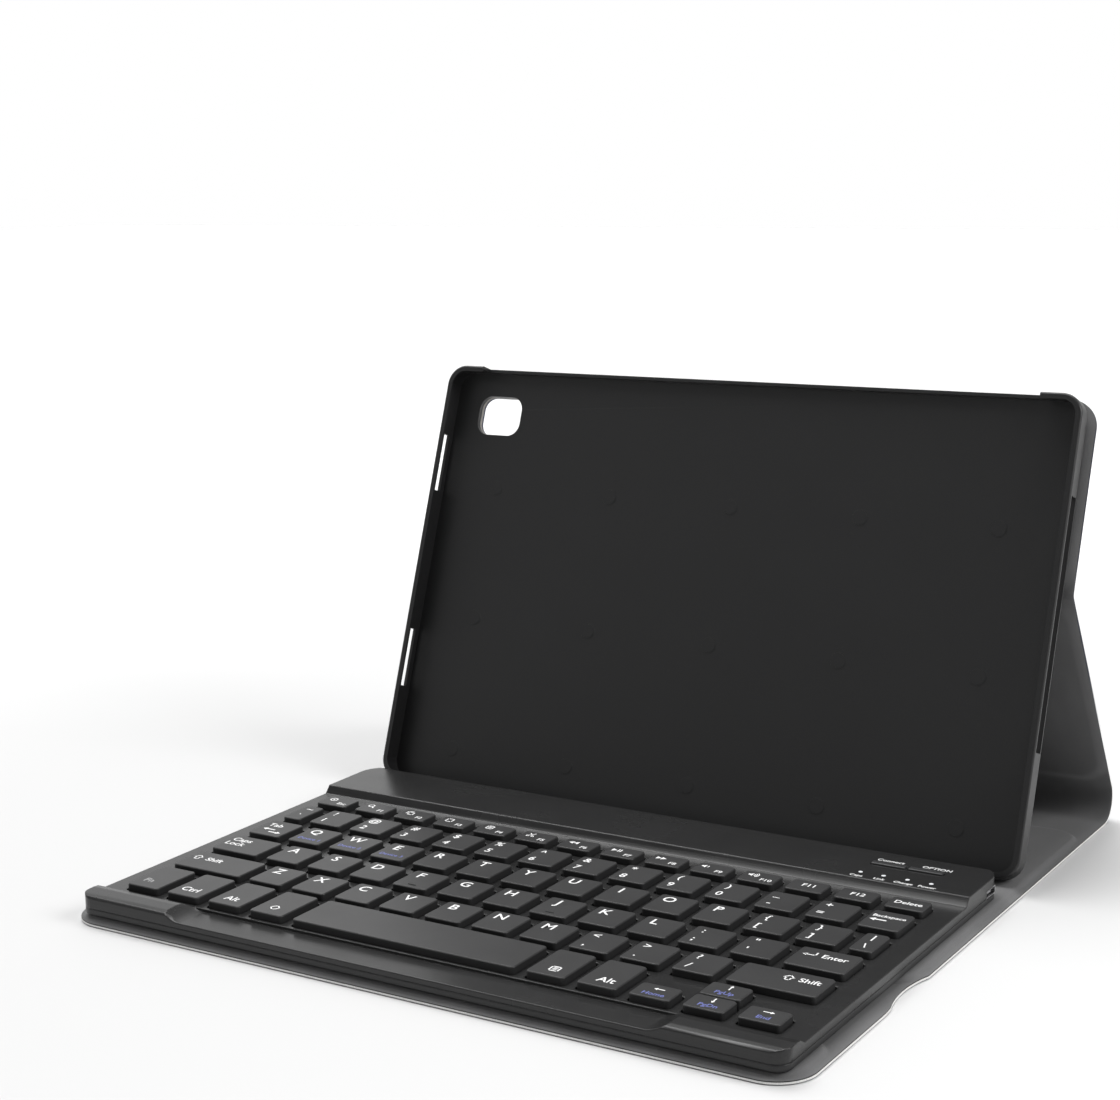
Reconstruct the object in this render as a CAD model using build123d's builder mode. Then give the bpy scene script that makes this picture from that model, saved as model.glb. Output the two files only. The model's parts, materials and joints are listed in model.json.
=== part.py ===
"""Tablet keyboard case, standing open for typing.

A folio cover lies on the table, turns up behind at a soft spine and folds once into a
stand.  The stand's upper panel is taped to a snap-in tablet tray, whose lower edge
stands on the cover behind a slim wireless keyboard.

Frame: X to the right, Y to the back, Z up, in millimetres.  The origin is on the table,
in the middle of the flat underside of the cover.
"""
import os
from math import cos, degrees, radians, sin

from build123d import *

os.makedirs("parts", exist_ok=True)

# ---------------------------------------------------------------- cover stock
SKIN = 0.8            # outer artificial leather
BOARD = 1.2           # stiffening board
LINING = 0.4          # inner lining cloth
HALF_WIDTH = 127.0    # half the cover's width
SEAM = 3.5            # glued border between a board and the cover's edge
CORNER = 12.5         # cover corner radius
BOARD_CORNER = 8.0    # board corner radius
BODY_GAP = 0.15       # half the gap between two sheets that fold apart
WAIST_DEPTH = 2.2     # depth of the waist cut beside the front fold
WAIST_RADIUS = 46.0

# ---------------------------------------------------------------- cover zones along Y
FRONT_Y = -120.0      # front edge of the cover
FLAP_Y = -89.0        # fold between the closing flap and the soft wrap
WRAP_Y = -47.0        # fold between the wrap and the stiff front cover
COVER_Y = 112.0       # end of the stiff front cover
SPINE_START = 127.7   # where the spine leaves the table
SPINE_RADIUS = 7.8

# ---------------------------------------------------------------- stand
STAND_ANGLE = 122.0   # lower stand panel, from +Y
STAND_LENGTH = 90.5   # from the rear crease to the upper fold
TRAY_ANGLE = 70.0     # tray and upper panel, from +Y
CREASE_GAP = 2.0      # bare strip at the rear crease
FOLD_GAP = 1.6        # bare strip each side of the upper fold
FOLD_BORDER = 4.0     # from a fold to the board beside it
PANEL_TOP = 65.6      # from the upper fold to the top edge
TOP_CORNER = 9.5      # corners of that edge

# ---------------------------------------------------------------- tablet tray
TRAY_HALF_WIDTH = 125.2
TRAY_LOW = -94.3      # lower edge, along the tray from the upper fold
TRAY_HIGH = 65.5      # upper edge
TRAY_DEPTH = 9.1
TRAY_WALL = 1.2
TRAY_CORNER = 7.5
TRAY_BACK_EDGE = 3.5  # rounding round the back
TRAY_RIM_EDGE = 0.9   # rounding round the rim
TOP_CLIP = 15.0       # wall left at each end of the open upper side
LIP = 1.0             # snap lip over the tablet's glass
LIP_HEIGHT = 0.9
TAPE = 0.3
TAPE_SIDE = 7.0        # bare strip of the tray beside the tape
TAPE_END = 4.0         # bare strip of the upper panel above and below the tape
CAMERA_X = -104.0
CAMERA_Y = 48.0       # from the upper fold
CAMERA_WIDTH = 19.0
CAMERA_HEIGHT = 15.0
CAMERA_CORNER = 5.0

# ---------------------------------------------------------------- keyboard case
KB_HALF_WIDTH = 122.5
KB_FRONT = -118.0
KB_REAR = 39.0
KB_CORNER = 9.5       # rear corners
KB_FRONT_CORNER = 5.0
KB_WALL = 1.6
KB_BOTTOM = 2.5
KB_FLOOR = 1.0
KB_FOOT_CHAMFER = 0.6
PARTING_Z = 4.9       # seam between the lower and the upper case
DECK_Z = 7.6
WEB = 1.0             # thickness of the deck between the keys
BLOCK_Y = 7.8         # foot of the slope up to the raised rear block
BLOCK_RAMP = 2.4      # depth of that slope
BLOCK_Z = 10.2
BLOCK_ROOF = 1.0
BLOCK_REAR_EDGE = 2.6  # rounding along the rear of the block
LIP_Y = -106.5        # back of the raised front lip
LIP_Z = 9.2
SCOOP_HALF_WIDTH = 81.0
SCOOP_BLEND = 11.0    # length of the S-shaped run up to the lip
SCOOP_Z = 6.7

# ---------------------------------------------------------------- keys
KEY_TOP = 9.8
KEY_SKIRT = 6.1       # lower rim of a cap at rest
KEY_ROOF = 1.1
KEY_WALL = 1.0
KEY_CORNER = 1.3
KEY_CHAMFER = 0.3
KEY_CLEARANCE = 0.45  # cap to deck, each side
FIELD = 114.4         # half the width of the key field
KEY_GAP = 4.0         # between caps in a row
KEY_WIDTH = 13.0      # letter cap
SMALL_WIDTH = 12.6    # cap in the top and bottom rows
NARROW_WIDTH = 7.3
ROW_PITCH = 18.75
KEY_DEPTH = 14.4
HALF_DEPTH = 9.1      # half-height caps
DEEP_DEPTH = 18.8     # caps of the bottom row
LETTERS_FRONT = -83.0  # front edge of the shift row
BOTTOM_FRONT = -104.7  # front edge of the bottom row

# ---------------------------------------------------------------- inside the keyboard
PLATE = 0.5
MEMBRANE = 0.25
DOME_RADIUS = 2.4
DOME_TOP_RADIUS = 1.5
DOME_HEIGHT = 2.6
PCB = 1.0
SCREW_RADIUS = 1.0
SCREW_DEPTH = 2.1     # blind hole in a post
SCREW_HEAD_RADIUS = 1.9
MAGNET_RADIUS = 4.0

FLOOR_Z = KB_BOTTOM + KB_FLOOR
PLATE_TOP = FLOOR_Z + PLATE
MEMBRANE_TOP = PLATE_TOP + MEMBRANE
PCB_TOP = FLOOR_Z + PCB


def direction(angle):
    """Unit vector in the YZ plane at an angle from +Y."""
    return Vector(0, cos(radians(angle)), sin(radians(angle)))


def panel_plane(start, angle):
    """Plane whose local Y runs up a panel and whose local Z points to the lining side."""
    return Plane(origin=start, x_dir=(1, 0, 0), z_dir=direction(angle + 90))


SPINE_CENTRE = Vector(0, SPINE_START, SKIN + SPINE_RADIUS)
CREASE = SPINE_CENTRE + direction(STAND_ANGLE - 90) * SPINE_RADIUS
UPPER_FOLD = CREASE + direction(STAND_ANGLE) * STAND_LENGTH

base_plane = Plane.XY.offset(SKIN)
stand_plane = panel_plane(CREASE, STAND_ANGLE)
back_plane = panel_plane(UPPER_FOLD, TRAY_ANGLE)
tray_plane = back_plane.offset(BOARD + LINING + TAPE)


def save(builder, name):
    """Label a finished sub-part and write it."""
    builder.part.label = name
    export_step(builder.part, f"parts/{name}.step")


def strip(half_width, low, high, corner=0.0, end=None):
    """Rectangle across X from low to high in Y, with one end's corners rounded."""
    with Locations((0, (low + high) / 2)):
        Rectangle(2 * half_width, high - low)
    if end == "low":
        fillet(vertices().group_by(Axis.Y)[0], corner)
    if end == "high":
        fillet(vertices().group_by(Axis.Y)[-1], corner)


def waist():
    """Shallow curved cut in both side edges, beside the front fold."""
    centre = HALF_WIDTH - WAIST_DEPTH + WAIST_RADIUS
    with Locations((centre, WRAP_Y), (-centre, WRAP_Y)):
        Circle(WAIST_RADIUS, mode=Mode.SUBTRACT)


def camera_hole():
    """Rounded opening for the tablet's rear camera."""
    with Locations((CAMERA_X, CAMERA_Y)):
        RectangleRounded(CAMERA_WIDTH, CAMERA_HEIGHT, CAMERA_CORNER)


def make_skin(plane, low, high, corner=0.0, end=None, waisted=False, camera=False):
    """Outer leather of one panel."""
    with BuildPart() as skin:
        with BuildSketch(plane):
            strip(HALF_WIDTH, low, high, corner, end)
            if waisted:
                waist()
        extrude(amount=-SKIN)
        if camera:
            with BuildSketch(plane):
                camera_hole()
            extrude(amount=-SKIN, mode=Mode.SUBTRACT)
    return skin


def board_outline(low, high, margin=0.0):
    """Rounded outline of a stiffening board, grown by a margin."""
    with Locations((0, (low + high) / 2)):
        RectangleRounded(
            2 * (HALF_WIDTH - SEAM + margin), high - low + 2 * margin, BOARD_CORNER + margin
        )


def make_board(plane, low, high, camera=False, magnets=()):
    """Stiffening board of one panel, with pockets for magnets."""
    with BuildPart() as board:
        with BuildSketch(plane):
            board_outline(low, high)
            if magnets:
                with Locations(*magnets):
                    Circle(MAGNET_RADIUS, mode=Mode.SUBTRACT)
        extrude(amount=BOARD)
        if camera:
            with BuildSketch(plane):
                camera_hole()
            extrude(amount=BOARD, mode=Mode.SUBTRACT)
    return board


def make_lining(plane, low, high, board=None, corner=0.0, end=None, waisted=False, camera=False):
    """Lining of one panel: glued flat at the border and raised over the board."""
    with BuildPart() as lining:
        with BuildSketch(plane):
            strip(HALF_WIDTH, low, high, corner, end)
            if waisted:
                waist()
        extrude(amount=LINING)
        if board:
            with BuildSketch(plane):
                board_outline(*board, margin=LINING)
            extrude(amount=BOARD + LINING)
            with BuildSketch(plane):
                board_outline(*board)
            extrude(amount=BOARD, mode=Mode.SUBTRACT)
        if camera:
            with BuildSketch(plane):
                camera_hole()
            extrude(amount=BOARD + LINING, mode=Mode.SUBTRACT)
    return lining


def make_discs(plane, places, radius, height):
    """Group of equal discs standing on a plane."""
    with BuildPart() as discs:
        with BuildSketch(plane):
            with Locations(*places):
                Circle(radius)
        extrude(amount=height)
    return discs


# ================================================================ closing flap
flap_board_span = (FRONT_Y + SEAM, FLAP_Y - SEAM)
flap_magnet_places = [(x, (FRONT_Y + FLAP_Y) / 2) for x in (-70, 0, 70)]
flap_skin = make_skin(base_plane, FRONT_Y, FLAP_Y - BODY_GAP, CORNER, "low")
flap_board = make_board(base_plane, *flap_board_span, magnets=flap_magnet_places)
flap_lining = make_lining(
    base_plane, FRONT_Y, FLAP_Y - BODY_GAP, flap_board_span, CORNER, "low"
)
flap_magnets = make_discs(base_plane, flap_magnet_places, MAGNET_RADIUS, BOARD)
save(flap_skin, "flap_skin")
save(flap_board, "flap_board")
save(flap_lining, "flap_lining")
save(flap_magnets, "flap_magnets")

# ================================================================ soft wrap
wrap_span = (FLAP_Y + BODY_GAP, WRAP_Y - BODY_GAP)
wrap_skin = make_skin(base_plane, *wrap_span, waisted=True)
wrap_lining = make_lining(base_plane, *wrap_span, waisted=True)
save(wrap_skin, "wrap_skin")
save(wrap_lining, "wrap_lining")

# ================================================================ front cover
cover_span = (WRAP_Y + BODY_GAP, COVER_Y)
cover_board_span = (WRAP_Y + SEAM, COVER_Y - SEAM)
cover_magnet_places = [(x, y) for x in (-95, 95) for y in (-30, 24)]
cover_skin = make_skin(base_plane, *cover_span, waisted=True)
cover_board = make_board(base_plane, *cover_board_span, magnets=cover_magnet_places)
cover_lining = make_lining(base_plane, *cover_span, cover_board_span, waisted=True)
cover_magnets = make_discs(base_plane, cover_magnet_places, MAGNET_RADIUS, BOARD)
save(cover_skin, "cover_skin")
save(cover_board, "cover_board")
save(cover_lining, "cover_lining")
save(cover_magnets, "cover_magnets")

# ================================================================ soft spine
SPINE_SWEEP = STAND_ANGLE - degrees(1.0 / SPINE_RADIUS)


def make_spine(inner, outer):
    """Strip that runs flat, then curls up off the table, between two radii."""
    centre = (SPINE_CENTRE.Y, SPINE_CENTRE.Z)
    with BuildPart() as sheet:
        with BuildSketch(Plane.YZ):
            with BuildLine():
                inside = CenterArc(centre, inner, -90, SPINE_SWEEP)
                outside = CenterArc(centre, outer, -90, SPINE_SWEEP)
                Line(inside @ 1, outside @ 1)
                Polyline(
                    inside @ 0,
                    (COVER_Y, (inside @ 0).Y),
                    (COVER_Y, (outside @ 0).Y),
                    outside @ 0,
                )
            make_face()
        extrude(amount=HALF_WIDTH, both=True)
    return sheet


spine_skin = make_spine(SPINE_RADIUS, SPINE_RADIUS + SKIN)
spine_lining = make_spine(SPINE_RADIUS - LINING, SPINE_RADIUS)
save(spine_skin, "spine_skin")
save(spine_lining, "spine_lining")

# ================================================================ lower stand panel
stand_span = (CREASE_GAP, STAND_LENGTH - FOLD_GAP)
stand_board_span = (FOLD_BORDER + CREASE_GAP, STAND_LENGTH - FOLD_BORDER)
stand_skin = make_skin(stand_plane, *stand_span)
stand_board = make_board(stand_plane, *stand_board_span)
stand_lining = make_lining(stand_plane, *stand_span, stand_board_span)
save(stand_skin, "stand_skin")
save(stand_board, "stand_board")
save(stand_lining, "stand_lining")

# ================================================================ upper panel, behind the tray
back_board_span = (FOLD_BORDER, PANEL_TOP - SEAM)
back_skin = make_skin(back_plane, FOLD_GAP, PANEL_TOP, TOP_CORNER, "high", camera=True)
back_board = make_board(back_plane, *back_board_span, camera=True)
back_lining = make_lining(
    back_plane, FOLD_GAP, PANEL_TOP, back_board_span, TOP_CORNER, "high", camera=True
)
save(back_skin, "back_skin")
save(back_board, "back_board")
save(back_lining, "back_lining")

tape_plane = back_plane.offset(BOARD + LINING)
tape_low = FOLD_BORDER + TAPE_END
tape_high = TRAY_HIGH - TRAY_BACK_EDGE - TAPE_END / 2
with BuildPart() as tray_tape:
    with BuildSketch(tape_plane):
        with Locations((0, (tape_low + tape_high) / 2)):
            Rectangle(2 * (TRAY_HALF_WIDTH - TAPE_SIDE), tape_high - tape_low)
        with Locations((CAMERA_X, CAMERA_Y)):
            RectangleRounded(
                CAMERA_WIDTH + 2, CAMERA_HEIGHT + 2, CAMERA_CORNER + 1, mode=Mode.SUBTRACT
            )
    extrude(amount=TAPE)
save(tray_tape, "tray_tape")

# ================================================================ snap-in tablet tray
TRAY_MIDDLE = (TRAY_LOW + TRAY_HIGH) / 2
TRAY_LENGTH = TRAY_HIGH - TRAY_LOW
SLOT_BASE = 3.4           # slots through the walls, from the tray's back
SLOT_HEIGHT = 4.4
RIGHT_SLOT_LENGTH = 84.0  # for the ports and loudspeakers
LEFT_SLOT_LENGTH = 22.0   # for the other loudspeakers
LEFT_SLOT_REACH = 38.0    # of each from the middle
SLOT_MIDDLE = TRAY_MIDDLE + 4.0


def tray_outline(inset):
    """Rounded outline of the tray, set in by a distance."""
    with Locations((0, TRAY_MIDDLE)):
        RectangleRounded(
            2 * (TRAY_HALF_WIDTH - inset), TRAY_LENGTH - 2 * inset, TRAY_CORNER - inset
        )


with BuildPart() as tray_shell:
    with BuildSketch(tray_plane):
        tray_outline(0)
    extrude(amount=TRAY_DEPTH)
    back_edges = edges().filter_by(
        lambda edge: abs(tray_plane.to_local_coords(edge.center()).Z) < 0.01
    )
    fillet(back_edges, TRAY_BACK_EDGE)
    rim_edges = edges().filter_by(
        lambda edge: abs(tray_plane.to_local_coords(edge.center()).Z - TRAY_DEPTH) < 0.01
    )
    fillet(rim_edges, TRAY_RIM_EDGE)
    with BuildSketch(tray_plane.offset(TRAY_WALL)):
        tray_outline(TRAY_WALL)
    extrude(amount=TRAY_DEPTH - TRAY_WALL - LIP_HEIGHT, mode=Mode.SUBTRACT)
    with BuildSketch(tray_plane.offset(TRAY_DEPTH - LIP_HEIGHT)):
        tray_outline(TRAY_WALL + LIP)
    extrude(amount=LIP_HEIGHT, mode=Mode.SUBTRACT)
    with BuildSketch(tray_plane.offset(SLOT_BASE)):
        with Locations((TRAY_HALF_WIDTH, SLOT_MIDDLE)):
            Rectangle(10 * TRAY_WALL, RIGHT_SLOT_LENGTH)
        for reach in (-LEFT_SLOT_REACH, LEFT_SLOT_REACH):
            with Locations((-TRAY_HALF_WIDTH, SLOT_MIDDLE + reach)):
                Rectangle(10 * TRAY_WALL, LEFT_SLOT_LENGTH)
    extrude(amount=SLOT_HEIGHT, mode=Mode.SUBTRACT)
    # the upper side is open down to a low wall, clear of the tablet's buttons
    with BuildSketch(tray_plane.offset(SLOT_BASE)):
        with Locations((0, TRAY_HIGH)):
            Rectangle(2 * (TRAY_HALF_WIDTH - TOP_CLIP), 2 * (TRAY_WALL + LIP) + 0.4)
    extrude(amount=TRAY_DEPTH, mode=Mode.SUBTRACT)
    with BuildSketch(tray_plane):
        camera_hole()
    extrude(amount=TRAY_WALL, mode=Mode.SUBTRACT)
save(tray_shell, "tray_shell")

# ================================================================ keys: places
# Each node of caps has a list of its caps, as (x, y, width, depth) with x, y at the centre.
keys = {}


def add_row(group, front, depth, first, last, width, count, first_name=None, last_name=None):
    """Lay a row of caps from the left edge of the field to the right edge."""
    left = -FIELD
    widths = [first] + [width] * count + [last]
    pitch_gap = (2 * FIELD - sum(widths)) / (len(widths) - 1)
    for index, cap in enumerate(widths):
        name = group
        if index == 0 and first_name:
            name = first_name
        if index == len(widths) - 1 and last_name:
            name = last_name
        keys.setdefault(name, []).append((left + cap / 2, front + depth / 2, cap, depth))
        left += cap + pitch_gap


LETTER_RUN = KEY_WIDTH + KEY_GAP
rows_front = [LETTERS_FRONT + ROW_PITCH * step for step in range(5)]
SHIFT_WIDTH = (2 * FIELD - 10 * LETTER_RUN - KEY_GAP) / 2
CAPS_WIDTH = (2 * FIELD - 11 * LETTER_RUN - KEY_GAP) / 2
add_row("letter_keys_lower", rows_front[0], KEY_DEPTH, SHIFT_WIDTH, SHIFT_WIDTH,
        KEY_WIDTH, 10, "shift_key_left", "shift_key_right")
add_row("letter_keys_home", rows_front[1], KEY_DEPTH, CAPS_WIDTH, CAPS_WIDTH,
        KEY_WIDTH, 11, "caps_key", "enter_key")
add_row("letter_keys_upper", rows_front[2], KEY_DEPTH, KEY_WIDTH, NARROW_WIDTH,
        KEY_WIDTH, 12, "tab_key")
add_row("number_keys", rows_front[3], KEY_DEPTH, NARROW_WIDTH, KEY_WIDTH,
        KEY_WIDTH, 12, None, "backspace_key")
add_row("function_keys", rows_front[4], HALF_DEPTH, SMALL_WIDTH, SMALL_WIDTH, SMALL_WIDTH, 12)

SMALL_RUN = SMALL_WIDTH + KEY_GAP
left_names = ["fn_key", "control_key", "alt_key_left", "system_key"]
for index, name in enumerate(left_names):
    keys[name] = [(-FIELD + SMALL_WIDTH / 2 + SMALL_RUN * index,
                   BOTTOM_FRONT + DEEP_DEPTH / 2, SMALL_WIDTH, DEEP_DEPTH)]
space_left = -FIELD + SMALL_RUN * 4
space_right = FIELD - SMALL_RUN * 5
keys["space_bar"] = [((space_left + space_right) / 2, BOTTOM_FRONT + DEEP_DEPTH / 2,
                      space_right - space_left, DEEP_DEPTH)]
for index, name in enumerate(["alt_key_right", "menu_key"]):
    keys[name] = [(FIELD - SMALL_WIDTH / 2 - SMALL_RUN * (3 + index),
                   BOTTOM_FRONT + DEEP_DEPTH / 2, SMALL_WIDTH, DEEP_DEPTH)]
for index, name in enumerate(["arrow_key_right", "arrow_key_down", "arrow_key_left"]):
    keys[name] = [(FIELD - SMALL_WIDTH / 2 - SMALL_RUN * index,
                   BOTTOM_FRONT + HALF_DEPTH / 2, SMALL_WIDTH, HALF_DEPTH)]
keys["arrow_key_up"] = [(FIELD - SMALL_WIDTH / 2 - SMALL_RUN,
                         BOTTOM_FRONT + DEEP_DEPTH - HALF_DEPTH / 2, SMALL_WIDTH, HALF_DEPTH)]
all_keys = [key for group in keys.values() for key in group]


def key_rectangles(group, grow, corner):
    """Rounded rectangle for each key of a group, grown on every side."""
    for x, y, width, depth in group:
        with Locations((x, y)):
            RectangleRounded(width + 2 * grow, depth + 2 * grow, corner)


# ================================================================ keys: caps
for name, group in keys.items():
    with BuildPart() as caps:
        with BuildSketch(Plane.XY.offset(KEY_SKIRT)):
            key_rectangles(group, 0, KEY_CORNER)
        extrude(amount=KEY_TOP - KEY_SKIRT)
        chamfer(faces().group_by(Axis.Z)[-1].edges(), KEY_CHAMFER)
        with BuildSketch(Plane.XY.offset(KEY_SKIRT)):
            key_rectangles(group, -KEY_WALL, 0.5)
        extrude(amount=KEY_TOP - KEY_ROOF - KEY_SKIRT, mode=Mode.SUBTRACT)
    save(caps, name)

# ================================================================ keyboard case
FRONT_SCREWS = [(x, -112.0) for x in (-112.5, 0, 112.5)]
REAR_SCREWS = [(x, KB_REAR - 21.0) for x in (-117.2, 0, 117.2)]
SCREW_PLACES = FRONT_SCREWS + REAR_SCREWS
BUTTON_X = (89.6, 102.2)
BUTTON_Y = 25.4
BUTTON_LENGTH = 11.6
BUTTON_WIDTH = 2.6
BUTTON_PROUD = 0.5
LED_X = (84.2, 92.0, 100.0, 107.9)
LED_Y = 15.5
LED_RADIUS = 0.7
PORT_Y = 29.0
PORT_WIDTH = 8.0
PORT_Z = PCB_TOP
PORT_HEIGHT = 2.8
SWITCH_Y = 27.0
SWITCH_SLOT = 7.0


def keyboard_outline(inset):
    """Outline of the keyboard case, set in by a distance."""
    with Locations((0, (KB_FRONT + KB_REAR) / 2)):
        Rectangle(2 * (KB_HALF_WIDTH - inset), KB_REAR - KB_FRONT - 2 * inset)
    fillet(vertices().group_by(Axis.Y)[0], KB_FRONT_CORNER - inset)
    fillet(vertices().group_by(Axis.Y)[-1], KB_CORNER - inset)


with BuildPart() as side_openings:
    # charging port in the right wall and switch slot in the left wall
    with BuildSketch(Plane.XY.offset(PORT_Z - 0.1)):
        with Locations((KB_HALF_WIDTH, PORT_Y)):
            Rectangle(4 * KB_WALL, PORT_WIDTH + 0.4)
        with Locations((-KB_HALF_WIDTH, SWITCH_Y)):
            Rectangle(4 * KB_WALL, SWITCH_SLOT)
    extrude(amount=PORT_HEIGHT)

with BuildPart() as keyboard_bottom_case:
    with BuildSketch(Plane.XY.offset(KB_BOTTOM)):
        keyboard_outline(0)
    extrude(amount=PARTING_Z - KB_BOTTOM)
    chamfer(faces().sort_by(Axis.Z)[0].edges(), KB_FOOT_CHAMFER)
    with BuildSketch(Plane.XY.offset(FLOOR_Z)):
        keyboard_outline(KB_WALL)
    extrude(amount=PARTING_Z - FLOOR_Z, mode=Mode.SUBTRACT)
    add(side_openings.part, mode=Mode.SUBTRACT)
    with BuildSketch(Plane.XY.offset(KB_BOTTOM)):
        with Locations(*SCREW_PLACES):
            Circle(SCREW_HEAD_RADIUS + 0.1)
    extrude(amount=KB_FLOOR / 2, mode=Mode.SUBTRACT)
    with BuildSketch(Plane.XY.offset(KB_BOTTOM)):
        with Locations(*SCREW_PLACES):
            Circle(SCREW_RADIUS + 0.1)
    extrude(amount=KB_FLOOR, mode=Mode.SUBTRACT)
save(keyboard_bottom_case, "keyboard_bottom_case")


with BuildSketch(Plane.YZ.offset(-KB_HALF_WIDTH)) as lip_profile:
    # side view of the raised front lip: rounded nose, low crown, slope to the deck
    with BuildLine():
        Polyline(
            (LIP_Y, DECK_Z - 0.5),
            (LIP_Y, DECK_Z),
            (LIP_Y - 2.5, LIP_Z - 0.15),
            (LIP_Y - 4.5, LIP_Z),
            (KB_FRONT + 2.4, LIP_Z - 0.1),
            (KB_FRONT + 0.7, LIP_Z - 0.4),
            (KB_FRONT, LIP_Z - 1.0),
            (KB_FRONT, DECK_Z - 0.5),
            close=True,
        )
    make_face()

with BuildSketch(Plane.YZ.offset(-KB_HALF_WIDTH)) as block_profile:
    # side view of the raised rear block with its sloping front
    with BuildLine():
        Polyline(
            (BLOCK_Y, DECK_Z - 0.5),
            (BLOCK_Y, DECK_Z),
            (BLOCK_Y + BLOCK_RAMP, BLOCK_Z),
            (KB_REAR, BLOCK_Z),
            (KB_REAR, DECK_Z - 0.5),
            close=True,
        )
    make_face()
    fillet(vertices().sort_by(lambda corner: corner.X + corner.Y)[-1], BLOCK_REAR_EDGE)

SCOOP_TOP = LIP_Z + 1.0
SCOOP_END = SCOOP_HALF_WIDTH + SCOOP_BLEND
with BuildSketch(Plane.XZ.offset(-KB_FRONT + 1)) as scoop_profile:
    # front view of the finger scoop: a level floor between two S-shaped ends
    with BuildLine():
        Line((-SCOOP_HALF_WIDTH, SCOOP_Z), (SCOOP_HALF_WIDTH, SCOOP_Z))
        Spline((SCOOP_HALF_WIDTH, SCOOP_Z), (SCOOP_END, SCOOP_TOP), tangents=[(1, 0), (1, 0)])
        Spline((-SCOOP_END, SCOOP_TOP), (-SCOOP_HALF_WIDTH, SCOOP_Z), tangents=[(1, 0), (1, 0)])
        Line((SCOOP_END, SCOOP_TOP), (-SCOOP_END, SCOOP_TOP))
    make_face()

with BuildPart() as keyboard_top_case:
    with BuildSketch(Plane.XY.offset(PARTING_Z)):
        keyboard_outline(0)
    extrude(amount=DECK_Z - PARTING_Z)
    # raised rear block and raised front lip
    extrude(block_profile.sketch, amount=2 * KB_HALF_WIDTH)
    extrude(lip_profile.sketch, amount=2 * KB_HALF_WIDTH)
    # trim the block and the lip to the case outline
    with BuildSketch(Plane.XY.offset(PARTING_Z)):
        keyboard_outline(0)
    extrude(amount=BLOCK_Z, mode=Mode.INTERSECT)
    # finger scoop through the lip
    extrude(scoop_profile.sketch, amount=-(LIP_Y - KB_FRONT + 1), mode=Mode.SUBTRACT)
    # hollow under the deck and under the block
    with BuildSketch(Plane.XY.offset(PARTING_Z)):
        keyboard_outline(KB_WALL)
    extrude(amount=SCOOP_Z - WEB - PARTING_Z, mode=Mode.SUBTRACT)
    with BuildSketch(Plane.XY.offset(SCOOP_Z - WEB)):
        with Locations((0, (LIP_Y + BLOCK_Y) / 2)):
            Rectangle(2 * (KB_HALF_WIDTH - KB_WALL), BLOCK_Y - LIP_Y)
    extrude(amount=DECK_Z - SCOOP_Z, mode=Mode.SUBTRACT)
    with BuildSketch(Plane.XY.offset(SCOOP_Z - WEB)):
        with Locations((0, (BLOCK_Y + BLOCK_RAMP + WEB + KB_REAR - KB_WALL) / 2)):
            Rectangle(2 * (KB_HALF_WIDTH - 2 * KB_WALL),
                      KB_REAR - KB_WALL - BLOCK_Y - BLOCK_RAMP - WEB)
    extrude(amount=BLOCK_Z - BLOCK_ROOF - SCOOP_Z + WEB, mode=Mode.SUBTRACT)
    # key windows
    with BuildSketch(Plane.XY.offset(PARTING_Z)):
        key_rectangles(all_keys, KEY_CLEARANCE - 0.01, KEY_CORNER)
    extrude(amount=DECK_Z, mode=Mode.SUBTRACT)
    # button and lamp windows in the block
    with BuildSketch(Plane.XY.offset(DECK_Z)):
        for x in BUTTON_X:
            with Locations((x, BUTTON_Y)):
                RectangleRounded(BUTTON_LENGTH + 0.3, BUTTON_WIDTH + 0.3, 0.6)
        for x in LED_X:
            with Locations((x, LED_Y)):
                Circle(LED_RADIUS)
    extrude(amount=BLOCK_Z, mode=Mode.SUBTRACT)
    add(side_openings.part, mode=Mode.SUBTRACT)
    # screw posts under the deck and under the block
    for places, roof in ((FRONT_SCREWS, SCOOP_Z - WEB), (REAR_SCREWS, BLOCK_Z - BLOCK_ROOF)):
        with BuildSketch(Plane.XY.offset(FLOOR_Z)):
            with Locations(*places):
                Circle(SCREW_HEAD_RADIUS)
        extrude(amount=roof - FLOOR_Z + 0.2)
        with BuildSketch(Plane.XY.offset(FLOOR_Z)):
            with Locations(*places):
                Circle(SCREW_RADIUS)
        extrude(amount=SCREW_DEPTH, mode=Mode.SUBTRACT)
save(keyboard_top_case, "keyboard_top_case")

with BuildPart() as case_screws:
    with BuildSketch(Plane.XY.offset(KB_BOTTOM + 0.05)):
        with Locations(*SCREW_PLACES):
            Circle(SCREW_HEAD_RADIUS)
    extrude(amount=KB_FLOOR / 2 - 0.05)
    with BuildSketch(Plane.XY.offset(KB_BOTTOM + KB_FLOOR / 2)):
        with Locations(*SCREW_PLACES):
            Circle(SCREW_RADIUS)
    extrude(amount=KB_FLOOR / 2 + SCREW_DEPTH - 0.2)
save(case_screws, "case_screws")

# ================================================================ key mechanism
PLATE_REAR = rows_front[4] + HALF_DEPTH + 1.5
with BuildPart() as support_plate:
    with BuildSketch(Plane.XY.offset(FLOOR_Z)):
        with Locations((0, (BOTTOM_FRONT - 1.5 + PLATE_REAR) / 2)):
            RectangleRounded(2 * (FIELD + 1.5), PLATE_REAR - BOTTOM_FRONT + 1.5, 2)
    extrude(amount=PLATE)
save(support_plate, "support_plate")

with BuildPart() as membrane_sheet:
    with BuildSketch(Plane.XY.offset(PLATE_TOP)):
        with Locations((0, (BOTTOM_FRONT - 1.0 + PLATE_REAR) / 2)):
            RectangleRounded(2 * (FIELD + 1.0), PLATE_REAR - BOTTOM_FRONT, 2)
    extrude(amount=MEMBRANE)
save(membrane_sheet, "membrane_sheet")

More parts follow.
